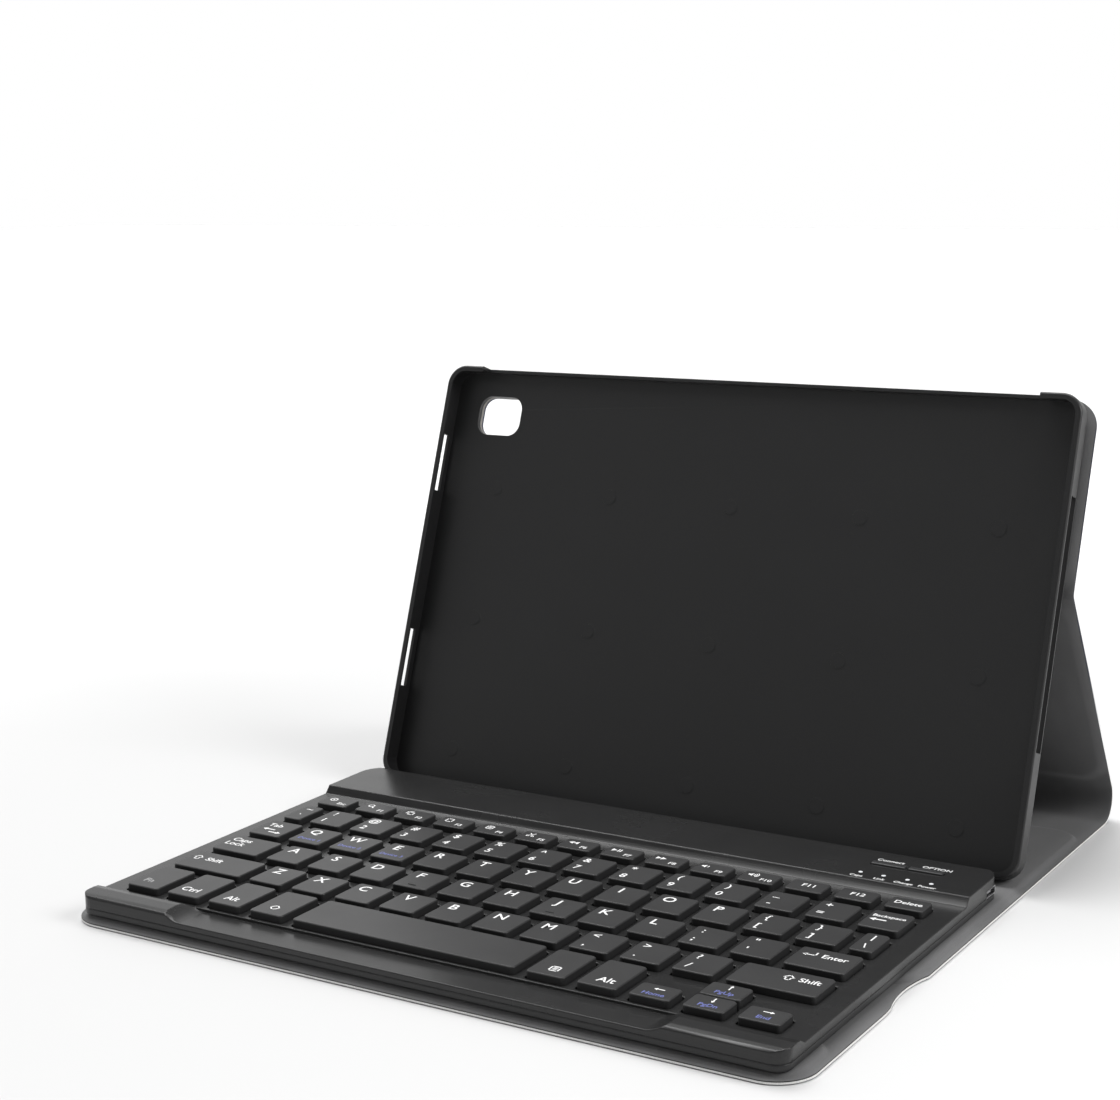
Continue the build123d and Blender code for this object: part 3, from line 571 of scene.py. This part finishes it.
# ================ cover: relief
BORDER_DEPTH = 0.10 * MM      # how far the leather is pressed down round a board
BORDER_START = 1.3 * MM       # distances from the board
BORDER_FADE = (5 * MM, 9 * MM)
GROOVE_DEPTH = 0.42 * MM      # of the line at the board's foot
GROOVE_PLACE = 1.1 * MM
GROOVE_WIDTH = 0.55 * MM
SKIN_RIM = (0.08 * MM, 0.35 * MM)     # depth and width of the rounding at the cut edge
LINING_RIM = (0.12 * MM, 0.3 * MM)
SKIN_GAP = 0.02 * MM          # between the leather and the fold surface
LINING_GAP = 0.1 * MM         # between the lining and what lies under it
BEVEL_START = 0.1 * MM        # where the lining's bevel leaves the board
BASE_BEVEL = 2.4 * MM
STAND_BEVEL = 5.5 * MM


def rounded_box(x, run, low, high, half, radius):
    """Signed distance outside a rounded rectangle of the flattened cover."""
    beyond_x = np.abs(x) - (half - radius)
    beyond_run = np.abs(run - (low + high) / 2) - ((high - low) / 2 - radius)
    outside = np.hypot(np.maximum(beyond_x, 0), np.maximum(beyond_run, 0))
    return outside + np.minimum(np.maximum(beyond_x, beyond_run), 0) - radius


def edge_distance(x, run):
    """Distance inside the cover's cut edge."""
    outline = -rounded_box(x, run, 0, TOP_S, HALF_WIDTH, np.where(run < TOP_S / 2, CORNER, TOP_CORNER))
    waist = np.hypot(WAIST_X - np.abs(x), run - WRAP_S) - WAIST_RADIUS
    return np.minimum(outline, waist)


def half_width(run):
    """Half the cover's width at a distance along it."""
    low = np.clip(CORNER - run, 0, CORNER)
    high = np.clip(TOP_CORNER - (TOP_S - run), 0, TOP_CORNER)
    corners = HALF_WIDTH - np.maximum(
        CORNER - np.sqrt(CORNER**2 - low**2), TOP_CORNER - np.sqrt(TOP_CORNER**2 - high**2)
    )
    waist = WAIST_X - np.sqrt(np.clip(WAIST_RADIUS**2 - (run - WRAP_S) ** 2, 0, None))
    return np.minimum(corners, waist)


def board_distance(x, run):
    """Signed distance outside the nearest stiffening board."""
    return np.minimum.reduce(
        [rounded_box(x, run, low, high, BOARD_HALF_WIDTH, BOARD_CORNER) for low, high in BOARD_RUNS]
    )


def smooth_step(value, start, end):
    """Rise from 0 to 1 as a value goes from start to end."""
    share = np.clip((value - start) / (end - start), 0, 1)
    return share * share * (3 - 2 * share)


def rim_rounding(x, run, depth, width):
    """How far a face is rounded off towards the cut edge."""
    return depth * np.exp(-np.clip(edge_distance(x, run), 0, None) / width)


def skin_outside(x, run):
    """Outer face of the leather: pressed down round each board, with a groove at its foot."""
    away = board_distance(x, run)
    border = smooth_step(away, 0, BORDER_START) * (1 - smooth_step(away, *BORDER_FADE))
    groove = np.exp(-(((away - GROOVE_PLACE) / GROOVE_WIDTH) ** 2))
    return -SKIN + BORDER_DEPTH * border + GROOVE_DEPTH * groove + rim_rounding(x, run, *SKIN_RIM)


def skin_inside(x, run):
    """Inner face of the leather, just short of the fold surface."""
    return np.full_like(x, -SKIN_GAP)


def lining_face(x, run):
    """Face of the lining: flat at the border and raised over each board by a soft bevel."""
    bevel = np.where(run > CREASE_S, STAND_BEVEL, BASE_BEVEL)
    raised = 1 - smooth_step(board_distance(x, run), BEVEL_START, bevel)
    return LINING + BOARD * raised - rim_rounding(x, run, *LINING_RIM)


def lining_back(x, run):
    """Back of the lining, just clear of the board or the leather."""
    return lining_face(x, run) - LINING + LINING_GAP


# ================ cover: sheets
FINE_LINES = 0.45 * MM        # spacing of grid lines at a mark
COARSE_LINES = 4.0 * MM       # and far from one
FINE_REACH = 2.8 * MM         # how far from a mark they stay fine
LINE_GROWTH = 0.3             # spacing gained per distance beyond that
BORDER_MARK = 7 * MM          # inside a board's edge
ARC_LINES = 30                # grid lines over a corner's arc
CORE_MARGIN = 1.0 * MM        # between a corner's arc and the lines that stay straight


def graded_lines(low, high, marks):
    """Grid lines from low to high, close together near each mark."""
    lines = [low]
    while lines[-1] < high - FINE_LINES:
        gap = min(abs(lines[-1] - mark) for mark in marks)
        lines.append(lines[-1] + min(COARSE_LINES, FINE_LINES + max(0.0, gap - FINE_REACH) * LINE_GROWTH))
    lines[-1] = high
    return lines


def corner_lines(radius):
    """Distances from an end that divide its corner arcs evenly."""
    return [radius * (1 - cos(pi / 2 * step / ARC_LINES)) for step in range(ARC_LINES)]


def run_lines(low, high):
    """Lines across the cover between two distances from its front edge."""
    marks = [end + side * BORDER_MARK for span in BOARD_RUNS for end, side in zip(span, (1, -1))]
    marks += [end for span in BOARD_RUNS for end in span]
    marks += [FLAP_S, WRAP_S, CREASE_S, UPPER_S, (SPINE_S + CREASE_S) / 2]
    start = corner_lines(CORNER) if low == 0 else []
    end = [TOP_S - line for line in reversed(corner_lines(TOP_CORNER))] if high == TOP_S else []
    middle = graded_lines(CORNER if start else low, TOP_S - TOP_CORNER if end else high, marks)
    return start + middle + end


def width_lines():
    """Lines along the cover, from its left edge to its right."""
    marks = [HALF_WIDTH, BOARD_HALF_WIDTH, BOARD_HALF_WIDTH - BORDER_MARK]
    right = [line for line in graded_lines(0.0, HALF_WIDTH, marks) if line > 0]
    return [-line for line in reversed(right)] + [0.0] + right


def shade(mesh, angle=35):
    """Smooth shading with sharp edges kept."""
    mesh.polygons.foreach_set("use_smooth", [True] * len(mesh.polygons))
    mesh.set_sharp_from_angle(angle=radians(angle))


def make_sheet(name, low, high, under, over, face, rim):
    """Closed sheet of the cover between two offsets from its fold surface."""
    run, x = np.meshgrid(run_lines(low, high), width_lines(), indexing="ij")
    core = HALF_WIDTH - CORNER - CORE_MARGIN
    squeeze = (half_width(run) - core) / (HALF_WIDTH - core)
    x = np.where(np.abs(x) > core, np.sign(x) * (core + (np.abs(x) - core) * squeeze), x)
    y, z, angle = along_cover(run)

    def place(offset):
        points = np.stack([x, y - offset * np.sin(angle), z + offset * np.cos(angle)], -1)
        return points.reshape(-1, 3)

    index = np.arange(run.size).reshape(run.shape)
    points = np.concatenate([place(under(x, run)), place(over(x, run))])
    flat = np.tile(np.stack([x, run], -1).reshape(-1, 2), (2, 1))
    quads = np.stack([index[:-1, :-1], index[1:, :-1], index[1:, 1:], index[:-1, 1:]], -1).reshape(-1, 4)
    border = np.concatenate([index[0, :-1], index[:-1, -1], index[-1, :0:-1], index[:0:-1, 0]])
    onward = np.roll(border, -1)
    wall = np.stack([border, onward, onward + run.size, border + run.size], -1)
    faces = np.concatenate([quads, quads[:, ::-1] + run.size, wall])
    mesh = bpy.data.meshes.new(name)
    mesh.from_pydata(points.tolist(), [], faces.tolist())
    corners = np.array([corner.vertex_index for corner in mesh.loops])
    mesh.uv_layers.new(name="flat").data.foreach_set("uv", flat[corners].ravel())
    mesh.materials.append(face)
    mesh.materials.append(rim)
    mesh.polygons.foreach_set("material_index", [0] * (2 * len(quads)) + [1] * len(wall))
    shade(mesh)
    return make_object(name, mesh)


CAMERA_WINDOW_X = -104.0 * MM
CAMERA_WINDOW_REACH = 48.0 * MM       # from the upper fold, along the upper panel
CAMERA_WINDOW_WIDTH = 19.0 * MM
CAMERA_WINDOW_HEIGHT = 15.0 * MM
CAMERA_WINDOW_CORNER = 5.0 * MM
CUTTER_REACH = 5 * MM                 # to each side of the fold surface


def arc_points(centre, radius, start, end, steps):
    """Points on a circle between two angles in degrees."""
    angles = [radians(start + (end - start) * step / steps) for step in range(steps + 1)]
    return [(centre[0] + radius * cos(a), centre[1] + radius * sin(a)) for a in angles]


def rounded_outline(width, height, radius, steps=8):
    """Outline of a rounded rectangle about the origin."""
    x, y = width / 2 - radius, height / 2 - radius
    outline = []
    for centre, turn in (((x, y), 0), ((-x, y), 90), ((-x, -y), 180), ((x, -y), 270)):
        outline += arc_points(centre, radius, turn, turn + 90, steps)
    return outline


def mesh_of(shape, name, *materials):
    """Mesh made from a bmesh, with its faces turned outwards."""
    bmesh.ops.recalc_face_normals(shape, faces=shape.faces)
    mesh = bpy.data.meshes.new(name)
    shape.to_mesh(mesh)
    for material in materials:
        mesh.materials.append(material)
    return mesh


def prism(mesh, outline, low, high):
    """Add a closed prism: two functions place an outline's points at its two ends."""
    bottom = [mesh.verts.new(low(point)) for point in outline]
    top = [mesh.verts.new(high(point)) for point in outline]
    mesh.faces.new(bottom[::-1])
    mesh.faces.new(top)
    for here in range(len(outline)):
        there = (here + 1) % len(outline)
        mesh.faces.new((bottom[here], bottom[there], top[there], top[here]))


def cut_camera_window(piece):
    """Cut the rounded camera window through a sheet of the upper panel."""
    centre = upper_fold + TRAY_UP * CAMERA_WINDOW_REACH + Vector((CAMERA_WINDOW_X, 0, 0))

    def end_at(reach):
        return lambda point: centre + Vector((point[0], 0, 0)) + TRAY_UP * point[1] + TRAY_OUT * reach

    shape = bmesh.new()
    outline = rounded_outline(CAMERA_WINDOW_WIDTH, CAMERA_WINDOW_HEIGHT, CAMERA_WINDOW_CORNER)
    prism(shape, outline, end_at(-CUTTER_REACH), end_at(CUTTER_REACH))
    cutter = make_object("window_cutter", mesh_of(shape, "window_cutter"))
    modifier = piece.modifiers.new("window", "BOOLEAN")
    modifier.object = cutter
    modifier.operation = "DIFFERENCE"
    modifier.solver = "EXACT"
    bpy.context.view_layer.update()
    evaluated = piece.evaluated_get(bpy.context.evaluated_depsgraph_get())
    cut = bpy.data.meshes.new_from_object(evaluated)
    piece.modifiers.clear()
    piece.data = cut
    shade(cut)
    bpy.data.objects.remove(cutter)


WRAP_MIDDLE = (FLAP_S + WRAP_S) / 2
COVER_MIDDLE = sum(BOARD_RUNS[1]) / 2
STAND_MIDDLE = sum(BOARD_RUNS[2]) / 2
BEND_REACH = 3.0 * MM         # to each side of a fold, where the bend's start and end points are set


def bend_at(fold):
    """Start and end of the bend at a fold of the flat cover, from the back to the front."""
    return fold + Vector((0, BEND_REACH, 0)), fold - Vector((0, BEND_REACH, 0))


# Each part of a sheet crosses one fold: its name, its ends along the cover, the two
# bodies it joins, and the points where the bend starts and ends.
CROSSINGS = [
    ("flap", 0.0, WRAP_MIDDLE, "wrap", "flap", *bend_at(flap_fold)),
    ("wrap", WRAP_MIDDLE, COVER_MIDDLE, "cover", "wrap", *bend_at(wrap_fold)),
    ("spine", COVER_MIDDLE, STAND_MIDDLE, "cover", "stand",
     Vector((0, crease.y, SKIN + BOARD + LINING)), crease),
    ("panel", STAND_MIDDLE, TOP_S, "stand", "tray",
     upper_fold - direction(STAND_ANGLE) * BEND_REACH, upper_fold + TRAY_UP * BEND_REACH),
]
REPLACED = {
    "flap": ["flap"],
    "wrap": ["wrap"],
    "spine": ["cover", "spine"],
    "panel": ["stand", "back"],
}


def make_cover(materials):
    """Leather and lining, each in four parts that meet in the middle of a stiff or flat zone."""
    for part, low, high, first, second, start, end in CROSSINGS:
        for name, under, over, slot, rim, node_kind in (
            ("leather", skin_outside, skin_inside, "outer_leather", "cut_edge", "skin"),
            ("cloth", lining_back, lining_face, "lining_cloth", "shaded_lining_rim", "lining"),
        ):
            piece = make_sheet(f"{part}_{name}", low, high, under, over, materials[slot], materials[rim])
            if part == "panel":
                cut_camera_window(piece)
            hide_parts(*[f"{zone}_{node_kind}" for zone in REPLACED[part]])
            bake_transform(piece)


# ================ printed legends: marks
INK = 0.02 * MM               # how far the print stands proud, and reaches into the cap


class Legend:
    """Printed marks of one ink on one CAD node, gathered into one piece."""

    cap_share = None          # height of a capital letter in a text of size 1

    def __init__(self, node):
        self.node = node
        self.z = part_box(node)[1].z
        self.mesh = bmesh.new()

    @staticmethod
    def letters(words, size, weight):
        """Flat extruded mesh of some words, with its first baseline at the origin."""
        curve = bpy.data.curves.new("words", "FONT")
        curve.body = words
        curve.size = size
        curve.offset = weight * size
        curve.extrude = INK
        curve.resolution_u = 3
        writing = bpy.data.objects.new("words", curve)
        mesh = bpy.data.meshes.new_from_object(writing)
        bpy.data.objects.remove(writing)
        bpy.data.curves.remove(curve)
        return mesh

    def text(self, words, height, x, y, weight=0.012):
        """Words centred on a point, with capitals of a given height."""
        if Legend.cap_share is None:
            measured = self.letters("H", 1.0, 0)
            Legend.cap_share = max(vertex.co.y for vertex in measured.vertices)
        mesh = self.letters(words, height / Legend.cap_share, weight)
        reach = [vertex.co.x for vertex in mesh.vertices]
        middle = (min(reach) + max(reach)) / 2
        mesh.transform(Matrix.Translation((x - middle, y - height / 2, self.z)))
        self.mesh.from_mesh(mesh)
        bpy.data.meshes.remove(mesh)

    def shape(self, outlines, size, x, y):
        """Plain outlines, drawn on a unit square about the origin."""
        for outline in outlines:
            prism(
                self.mesh, outline,
                lambda point: (x + point[0] * size, y + point[1] * size, self.z - INK),
                lambda point: (x + point[0] * size, y + point[1] * size, self.z + INK),
            )

    def add(self, marks, low, high):
        """Words and shapes on one cap, each given as in CAP_LEGENDS."""
        for mark, height, x, y in marks:
            draw = self.text if isinstance(mark, str) else self.shape
            draw(mark, height * MM, low[0] + x * MM, high[1] - y * MM)

    def finish(self, name, material):
        """Make the gathered marks a piece that rides with its node."""
        mesh = mesh_of(self.mesh, name, material)
        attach(make_object(name, mesh), body_of_node[self.node])


def half_stroke(start, end, width):
    """Vector along a stroke, as long as half its width."""
    return Vector((end[0] - start[0], end[1] - start[1])).normalized() * width / 2


def bar(start, end, width):
    """Straight stroke as an outline."""
    along = half_stroke(start, end, width)
    side = Vector((-along.y, along.x))
    first, last = Vector(start), Vector(end)
    return [tuple(first - side), tuple(last - side), tuple(last + side), tuple(first + side)]


def strokes(points, width, closed=False):
    """Run of straight strokes with square joints."""
    ends = list(points) + ([points[0]] if closed else [])
    outlines = []
    for start, end in zip(ends, ends[1:]):
        along = half_stroke(start, end, width)
        outlines.append(bar(tuple(Vector(start) - along), tuple(Vector(end) + along), width))
    return outlines


def band(centre, radius, width, start, end, steps=14):
    """Round stroke as an outline, between two angles in degrees."""
    outer = arc_points(centre, radius + width / 2, start, end, steps)
    inner = arc_points(centre, radius - width / 2, end, start, steps)
    return outer + inner


def ring(centre, radius, width):
    """Full circle, as two round strokes."""
    return [band(centre, radius, width, 0, 180), band(centre, radius, width, 180, 360)]


def arrow(turn, head=0.34, half_head=0.21, stem=0.13):
    """Solid arrow along +X, turned by an angle in degrees."""
    neck = 0.5 - head
    outline = [(-0.5, -stem / 2), (neck, -stem / 2), (neck, -half_head), (0.5, 0),
               (neck, half_head), (neck, stem / 2), (-0.5, stem / 2)]
    c, s = cos(radians(turn)), sin(radians(turn))
    return [[(x * c - y * s, x * s + y * c) for x, y in outline]]


# Marks on a unit square about the origin, each a list of outlines.
THIN = 0.11
FINE = 0.09
SHIFT_MARK = strokes(
    [(0, 0.48), (0.42, 0.04), (0.2, 0.04), (0.2, -0.4), (-0.2, -0.4), (-0.2, 0.04), (-0.42, 0.04)],
    THIN, closed=True,
)
ENTER_MARK = strokes([(0.45, 0.34), (0.45, -0.1), (-0.3, -0.1)], THIN) + [
    [(-0.5, -0.1), (-0.18, -0.3), (-0.18, 0.1)]
]
HOME_MARK = ring((0, 0), 0.34, THIN) + [[(-0.1, -0.1), (0.1, -0.1), (0.1, 0.1), (-0.1, 0.1)]]
SEARCH_MARK = ring((-0.08, 0.08), 0.28, THIN) + [bar((0.12, -0.12), (0.42, -0.42), 0.14)]
COPY_MARK = strokes([(-0.4, -0.15), (-0.4, 0.42), (0.15, 0.42)], THIN) + strokes(
    [(-0.15, -0.4), (0.4, -0.4), (0.4, 0.18), (-0.15, 0.18)], THIN, closed=True
)
PAGE_MARK = strokes([(-0.34, -0.36), (0.34, -0.36), (0.34, 0.36), (-0.34, 0.36)], THIN, closed=True)
LIST_MARK = PAGE_MARK + [bar((-0.18, y), (0.18, y), FINE) for y in (-0.14, 0.02, 0.18)]
CUT_MARK = [bar((-0.3, 0.42), (0.2, -0.2), 0.1), bar((0.3, 0.42), (-0.2, -0.2), 0.1)] + ring(
    (-0.26, -0.3), 0.12, FINE) + ring((0.26, -0.3), 0.12, FINE)
BACK_MARK = [[(-0.5, 0), (0, -0.3), (0, 0.3)], [(0, 0), (0.5, -0.3), (0.5, 0.3)]]
FORWARD_MARK = [[(-x, y) for x, y in outline[::-1]] for outline in BACK_MARK]
PLAY_MARK = [[(-0.5, -0.3), (0.02, 0), (-0.5, 0.3)]] + [bar((x, -0.3), (x, 0.3), 0.12) for x in (0.16, 0.4)]
SPEAKER = [[(-0.5, -0.12), (-0.32, -0.12), (-0.1, -0.34), (-0.1, 0.34), (-0.32, 0.12), (-0.5, 0.12)]]
QUIET_MARK = SPEAKER + [band((-0.1, 0), 0.26, FINE, -45, 45, 6)]
LOUD_MARK = SPEAKER + [band((-0.1, 0), radius, FINE, -50, 50, 6) for radius in (0.2, 0.38, 0.56)]
DIAMOND_MARK = strokes([(0.42, 0), (0, 0.42), (-0.42, 0), (0, -0.42)], THIN, closed=True)


# ================ printed legends: caps
CLEAR_STEP = 2 * MM


def clusters_of(node):
    """Groups of a node's vertices, from left to right, parted by clear steps along X."""
    points = np.array([vertex.co for vertex in nodes[node].data.vertices])
    points = points[np.argsort(points[:, 0])]
    return np.split(points, np.where(np.diff(points[:, 0]) > CLEAR_STEP)[0] + 1)


def caps_of(node):
    """(low, high) corners of each cap of a node, from left to right."""
    walls = clusters_of(node)
    pairs = [np.concatenate(pair) for pair in zip(walls[::2], walls[1::2])]
    return [(pair.min(0), pair.max(0)) for pair in pairs]


# Legends of the grouped caps: one letter, or an upper and a lower character.
GROUP_LEGENDS = {
    "number_keys": ["~`", "!1", "@2", "#3", "$4", "%5", "^6", "&7", "*8", "(9", ")0", "_-", "+="],
    "letter_keys_upper": [*"QWERTYUIOP", "{[", "}]", "|\\"],
    "letter_keys_home": [*"ASDFGHJKL", ":;", "\"'"],
    "letter_keys_lower": [*"ZXCVBNM", "<,", ">.", "?/"],
}
# Sizes and places of their marks: height, from the left side, from the rear side, mm.
LETTER_PLACE = (3.8, 4.4, 3.8)
PAIR_PLACES = ((3.1, 3.5, 3.2), (3.1, 3.5, 10.1))
CHANNEL_PLACE = (1.75, 6.4, 10.6)
MARK_PLACE = (3.7, 3.7, 3.3)
NAME_PLACE = (1.9, 9.2, 6.2)
LONE_NAME_PLACE = (2.3, 6.4, 4.0)     # on a function cap with no mark
FUNCTION_MARKS = [HOME_MARK, SEARCH_MARK, COPY_MARK, PAGE_MARK, LIST_MARK, CUT_MARK, BACK_MARK,
                  PLAY_MARK, FORWARD_MARK, QUIET_MARK, LOUD_MARK]
FUNCTION_NAMES = ["Esc", *[f"F{number}" for number in range(1, 13)], "Delete"]
CHANNEL_CAPS = 3              # the first caps of the upper row also choose a paired device

# Legends of the single caps: (words or mark, height, from the left side, from the rear side), mm.
CAP_LEGENDS = {
    "tab_key": [("Tab", 2.6, 4.6, 4.4), (arrow(180), 5.0, 4.7, 8.6), (arrow(0), 5.0, 8.7, 10.9)],
    "caps_key": [("Caps", 2.7, 5.0, 3.7), ("Lock", 2.7, 4.9, 7.6)],
    "shift_key_left": [(SHIFT_MARK, 3.8, 3.2, 5.6), ("Shift", 2.6, 10.2, 5.6)],
    "shift_key_right": [(SHIFT_MARK, 3.8, 15.2, 5.1), ("Shift", 2.6, 21.8, 5.1)],
    "enter_key": [(ENTER_MARK, 4.2, 4.2, 4.9), ("Enter", 2.5, 12.2, 4.9)],
    "backspace_key": [("Backspace", 1.75, 6.5, 4.3), (arrow(180), 5.4, 4.0, 7.6)],
    "control_key": [("Ctrl", 2.9, 5.6, 13.4)],
    "alt_key_left": [("Alt", 2.9, 5.9, 13.5)],
    "alt_key_right": [("Alt", 3.1, 7.2, 13.9)],
    "system_key": [(DIAMOND_MARK, 4.0, 6.0, 13.4)],
    "menu_key": [(LIST_MARK, 4.2, 6.9, 13.8)],
    "arrow_key_left": [(arrow(180), 3.4, 6.6, 2.9)],
    "arrow_key_right": [(arrow(0), 3.4, 6.5, 2.6)],
    "arrow_key_up": [(arrow(90), 3.0, 6.6, 2.3)],
    "arrow_key_down": [(arrow(270), 3.0, 6.6, 2.6)],
}
GREY_LEGENDS = {
    "fn_key": [("Fn", 2.7, 4.6, 13.0)],
}
BLUE_LEGENDS = {
    "arrow_key_left": [("Home", 1.9, 6.6, 6.4)],
    "arrow_key_right": [("End", 1.9, 6.5, 6.2)],
    "arrow_key_up": [("PgUp", 1.9, 6.6, 6.2)],
    "arrow_key_down": [("PgDn", 1.9, 6.6, 6.2)],
}


def make_group_legends(materials):
    """White letters, digits and signs of the grouped caps, and the blue pairing marks."""
    for node, group in GROUP_LEGENDS.items():
        white = Legend(node)
        for corners, characters in zip(caps_of(node), group):
            places = [LETTER_PLACE] if len(characters) == 1 else PAIR_PLACES
            white.add([(character, *place) for character, place in zip(characters, places)], *corners)
        white.finish(f"legend_{node}", materials["white_ink"])
    blue = Legend("letter_keys_upper")
    for channel, corners in enumerate(caps_of("letter_keys_upper")[:CHANNEL_CAPS], 1):
        blue.add([(f"Device {channel}", *CHANNEL_PLACE)], *corners)
    blue.finish("channel_marks", materials["blue_ink"])


def make_function_legends(materials):
    """White marks and names of the function caps."""
    white = Legend("function_keys")
    for number, (corners, name) in enumerate(zip(caps_of("function_keys"), FUNCTION_NAMES)):
        if number < len(FUNCTION_MARKS):
            white.add([(FUNCTION_MARKS[number], *MARK_PLACE), (name, *NAME_PLACE)], *corners)
        else:
            white.add([(name, *LONE_NAME_PLACE)], *corners)
    white.finish("legend_function_keys", materials["white_ink"])


def make_legends(materials):
    """White, grey and blue marks of every cap."""
    make_group_legends(materials)
    make_function_legends(materials)
    for kind, groups, colour in (
        ("legend", CAP_LEGENDS, "white_ink"),
        ("legend", GREY_LEGENDS, "grey_ink"),
        ("second_legend", BLUE_LEGENDS, "blue_ink"),
    ):
        for node, marks in groups.items():
            printed = Legend(node)
            printed.add(marks, *caps_of(node)[0])
            printed.finish(f"{kind}_{node}", materials[colour])


LAMP_NAMES = ("Caps", "Link", "Charge", "Power")
LAMP_NAME_HEIGHT = 1.5 * MM
LAMP_NAME_DROP = 3.4 * MM     # in front of the lamps
BUTTON_NAMES = (("connect_button", "Connect", -0.8 * MM), ("option_button", "OPTION", 2.2 * MM))
BUTTON_NAME_HEIGHT = 1.8 * MM
BUTTON_NAME_RISE = 2.6 * MM   # behind the buttons


def make_deck_marks(materials):
    """Labels of the status lamps and of the two buttons on the rear block."""
    lamps = [float((pipe[0, 0] + pipe[-1, 0]) / 2) for pipe in clusters_of("light_pipes")]
    low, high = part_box("light_pipes")
    printed = Legend("keyboard_top_case")
    for x, words in zip(lamps, LAMP_NAMES):
        printed.text(words, LAMP_NAME_HEIGHT, x, (low.y + high.y) / 2 - LAMP_NAME_DROP)
    for node, words, aside in BUTTON_NAMES:
        low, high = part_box(node)
        printed.text(words, BUTTON_NAME_HEIGHT, (low.x + high.x) / 2 + aside, high.y + BUTTON_NAME_RISE)
    printed.finish("deck_labels", materials["white_ink"])


# ================ moulded marks
HOMING_CAPS = (3, 6)          # F and J in the home row
HOMING_SIZE = (3.2 * MM, 0.55 * MM, 0.27 * MM)    # length, width and corner
HOMING_TOP = (0.92, 0.6)      # the top's length and width over the foot's
HOMING_INSET = 2.2 * MM       # from the cap's front side
HOMING_HEIGHT = 0.22 * MM
MARK_ROOT = 0.05 * MM         # how far a raised mark reaches into what it stands on


def make_homing_bars(materials):
    """Small raised bars near the front of the two homing caps."""
    shape = bmesh.new()
    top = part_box("letter_keys_home")[1].z
    caps = caps_of("letter_keys_home")
    outline = rounded_outline(*HOMING_SIZE, steps=4)
    along_top, across_top = HOMING_TOP
    for number in HOMING_CAPS:
        low, high = caps[number]
        centre = Vector(((low[0] + high[0]) / 2, low[1] + HOMING_INSET, top))
        prism(
            shape, outline,
            lambda point: centre + Vector((point[0], point[1], -MARK_ROOT)),
            lambda point: centre + Vector((point[0] * along_top, point[1] * across_top, HOMING_HEIGHT)),
        )
    mesh = mesh_of(shape, "homing_bars", materials["keycap_plastic"])
    shade(mesh, angle=50)
    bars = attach(make_object("homing_bars", mesh), body_of_node["letter_keys_home"])


EJECTOR_RADIUS = 3.0 * MM
EJECTOR_STEPS = ((1.0, 0.06 * MM), (0.86, 0.14 * MM))     # share of the radius, and height
EJECTOR_TAPER = 0.98
EJECTOR_POINTS = 48
EJECTOR_PLACES = [(x, reach) for x in (-100, -50, 0, 50, 100) for reach in (-80, -30, 20)]   # mm


def make_ejector_marks(materials):
    """Round witness marks of the mould's ejector pins on the floor of the tray."""
    floor = extent_along("tray_tape", upper_fold, TRAY_OUT)[1] + TRAY_FLOOR
    shape = bmesh.new()
    for x, reach in EJECTOR_PLACES:
        centre = upper_fold + Vector((x * MM, 0, 0)) + TRAY_UP * reach * MM + TRAY_OUT * floor
        for share, height in EJECTOR_STEPS:
            circle = arc_points(
                (0, 0), EJECTOR_RADIUS * share, 0, 360 - 360 / EJECTOR_POINTS, EJECTOR_POINTS - 1
            )
            prism(
                shape, circle,
                lambda point: centre + Vector((point[0], 0, 0)) + TRAY_UP * point[1] - TRAY_OUT * MARK_ROOT,
                lambda point: centre + (Vector((point[0], 0, 0)) + TRAY_UP * point[1]) * EJECTOR_TAPER
                + TRAY_OUT * height,
            )
    mesh = mesh_of(shape, "ejector_marks", materials["tray_plastic"])
    shade(mesh)
    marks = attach(make_object("ejector_marks", mesh), "tray")


# ================ finishes of the CAD nodes
EDGE_ROUNDING = {
    "keycap_plastic": 0.22 * MM,
    "deck_plastic": 0.24 * MM,
    "case_plastic": 0.2 * MM,
    "tray_plastic": 0.2 * MM,
    "button_plastic": 0.15 * MM,
}
EDGE_STEPS = 3
EDGE_ANGLE = radians(40)      # edges that turn less than this stay as they are
WELD_REACH = 0.002 * MM


def finish_nodes(materials):
    """Give every CAD node its material, and round the sharp edges of the mouldings."""
    for name, node in nodes.items():
        slot = slot_of_node[name]
        node.data.materials.clear()
        node.data.materials.append(materials[slot])
        if slot in EDGE_ROUNDING:
            weld = node.modifiers.new("weld", "WELD")
            weld.merge_threshold = WELD_REACH
            bevel = node.modifiers.new("edges", "BEVEL")
            bevel.width = EDGE_ROUNDING[slot]
            bevel.segments = EDGE_STEPS
            bevel.limit_method = "ANGLE"
            bevel.angle_limit = EDGE_ANGLE
            bevel.harden_normals = True


make_camera()
make_stage()
finishes = make_materials()
finish_nodes(finishes)
make_cover(finishes)
make_legends(finishes)
make_deck_marks(finishes)
make_homing_bars(finishes)
make_ejector_marks(finishes)
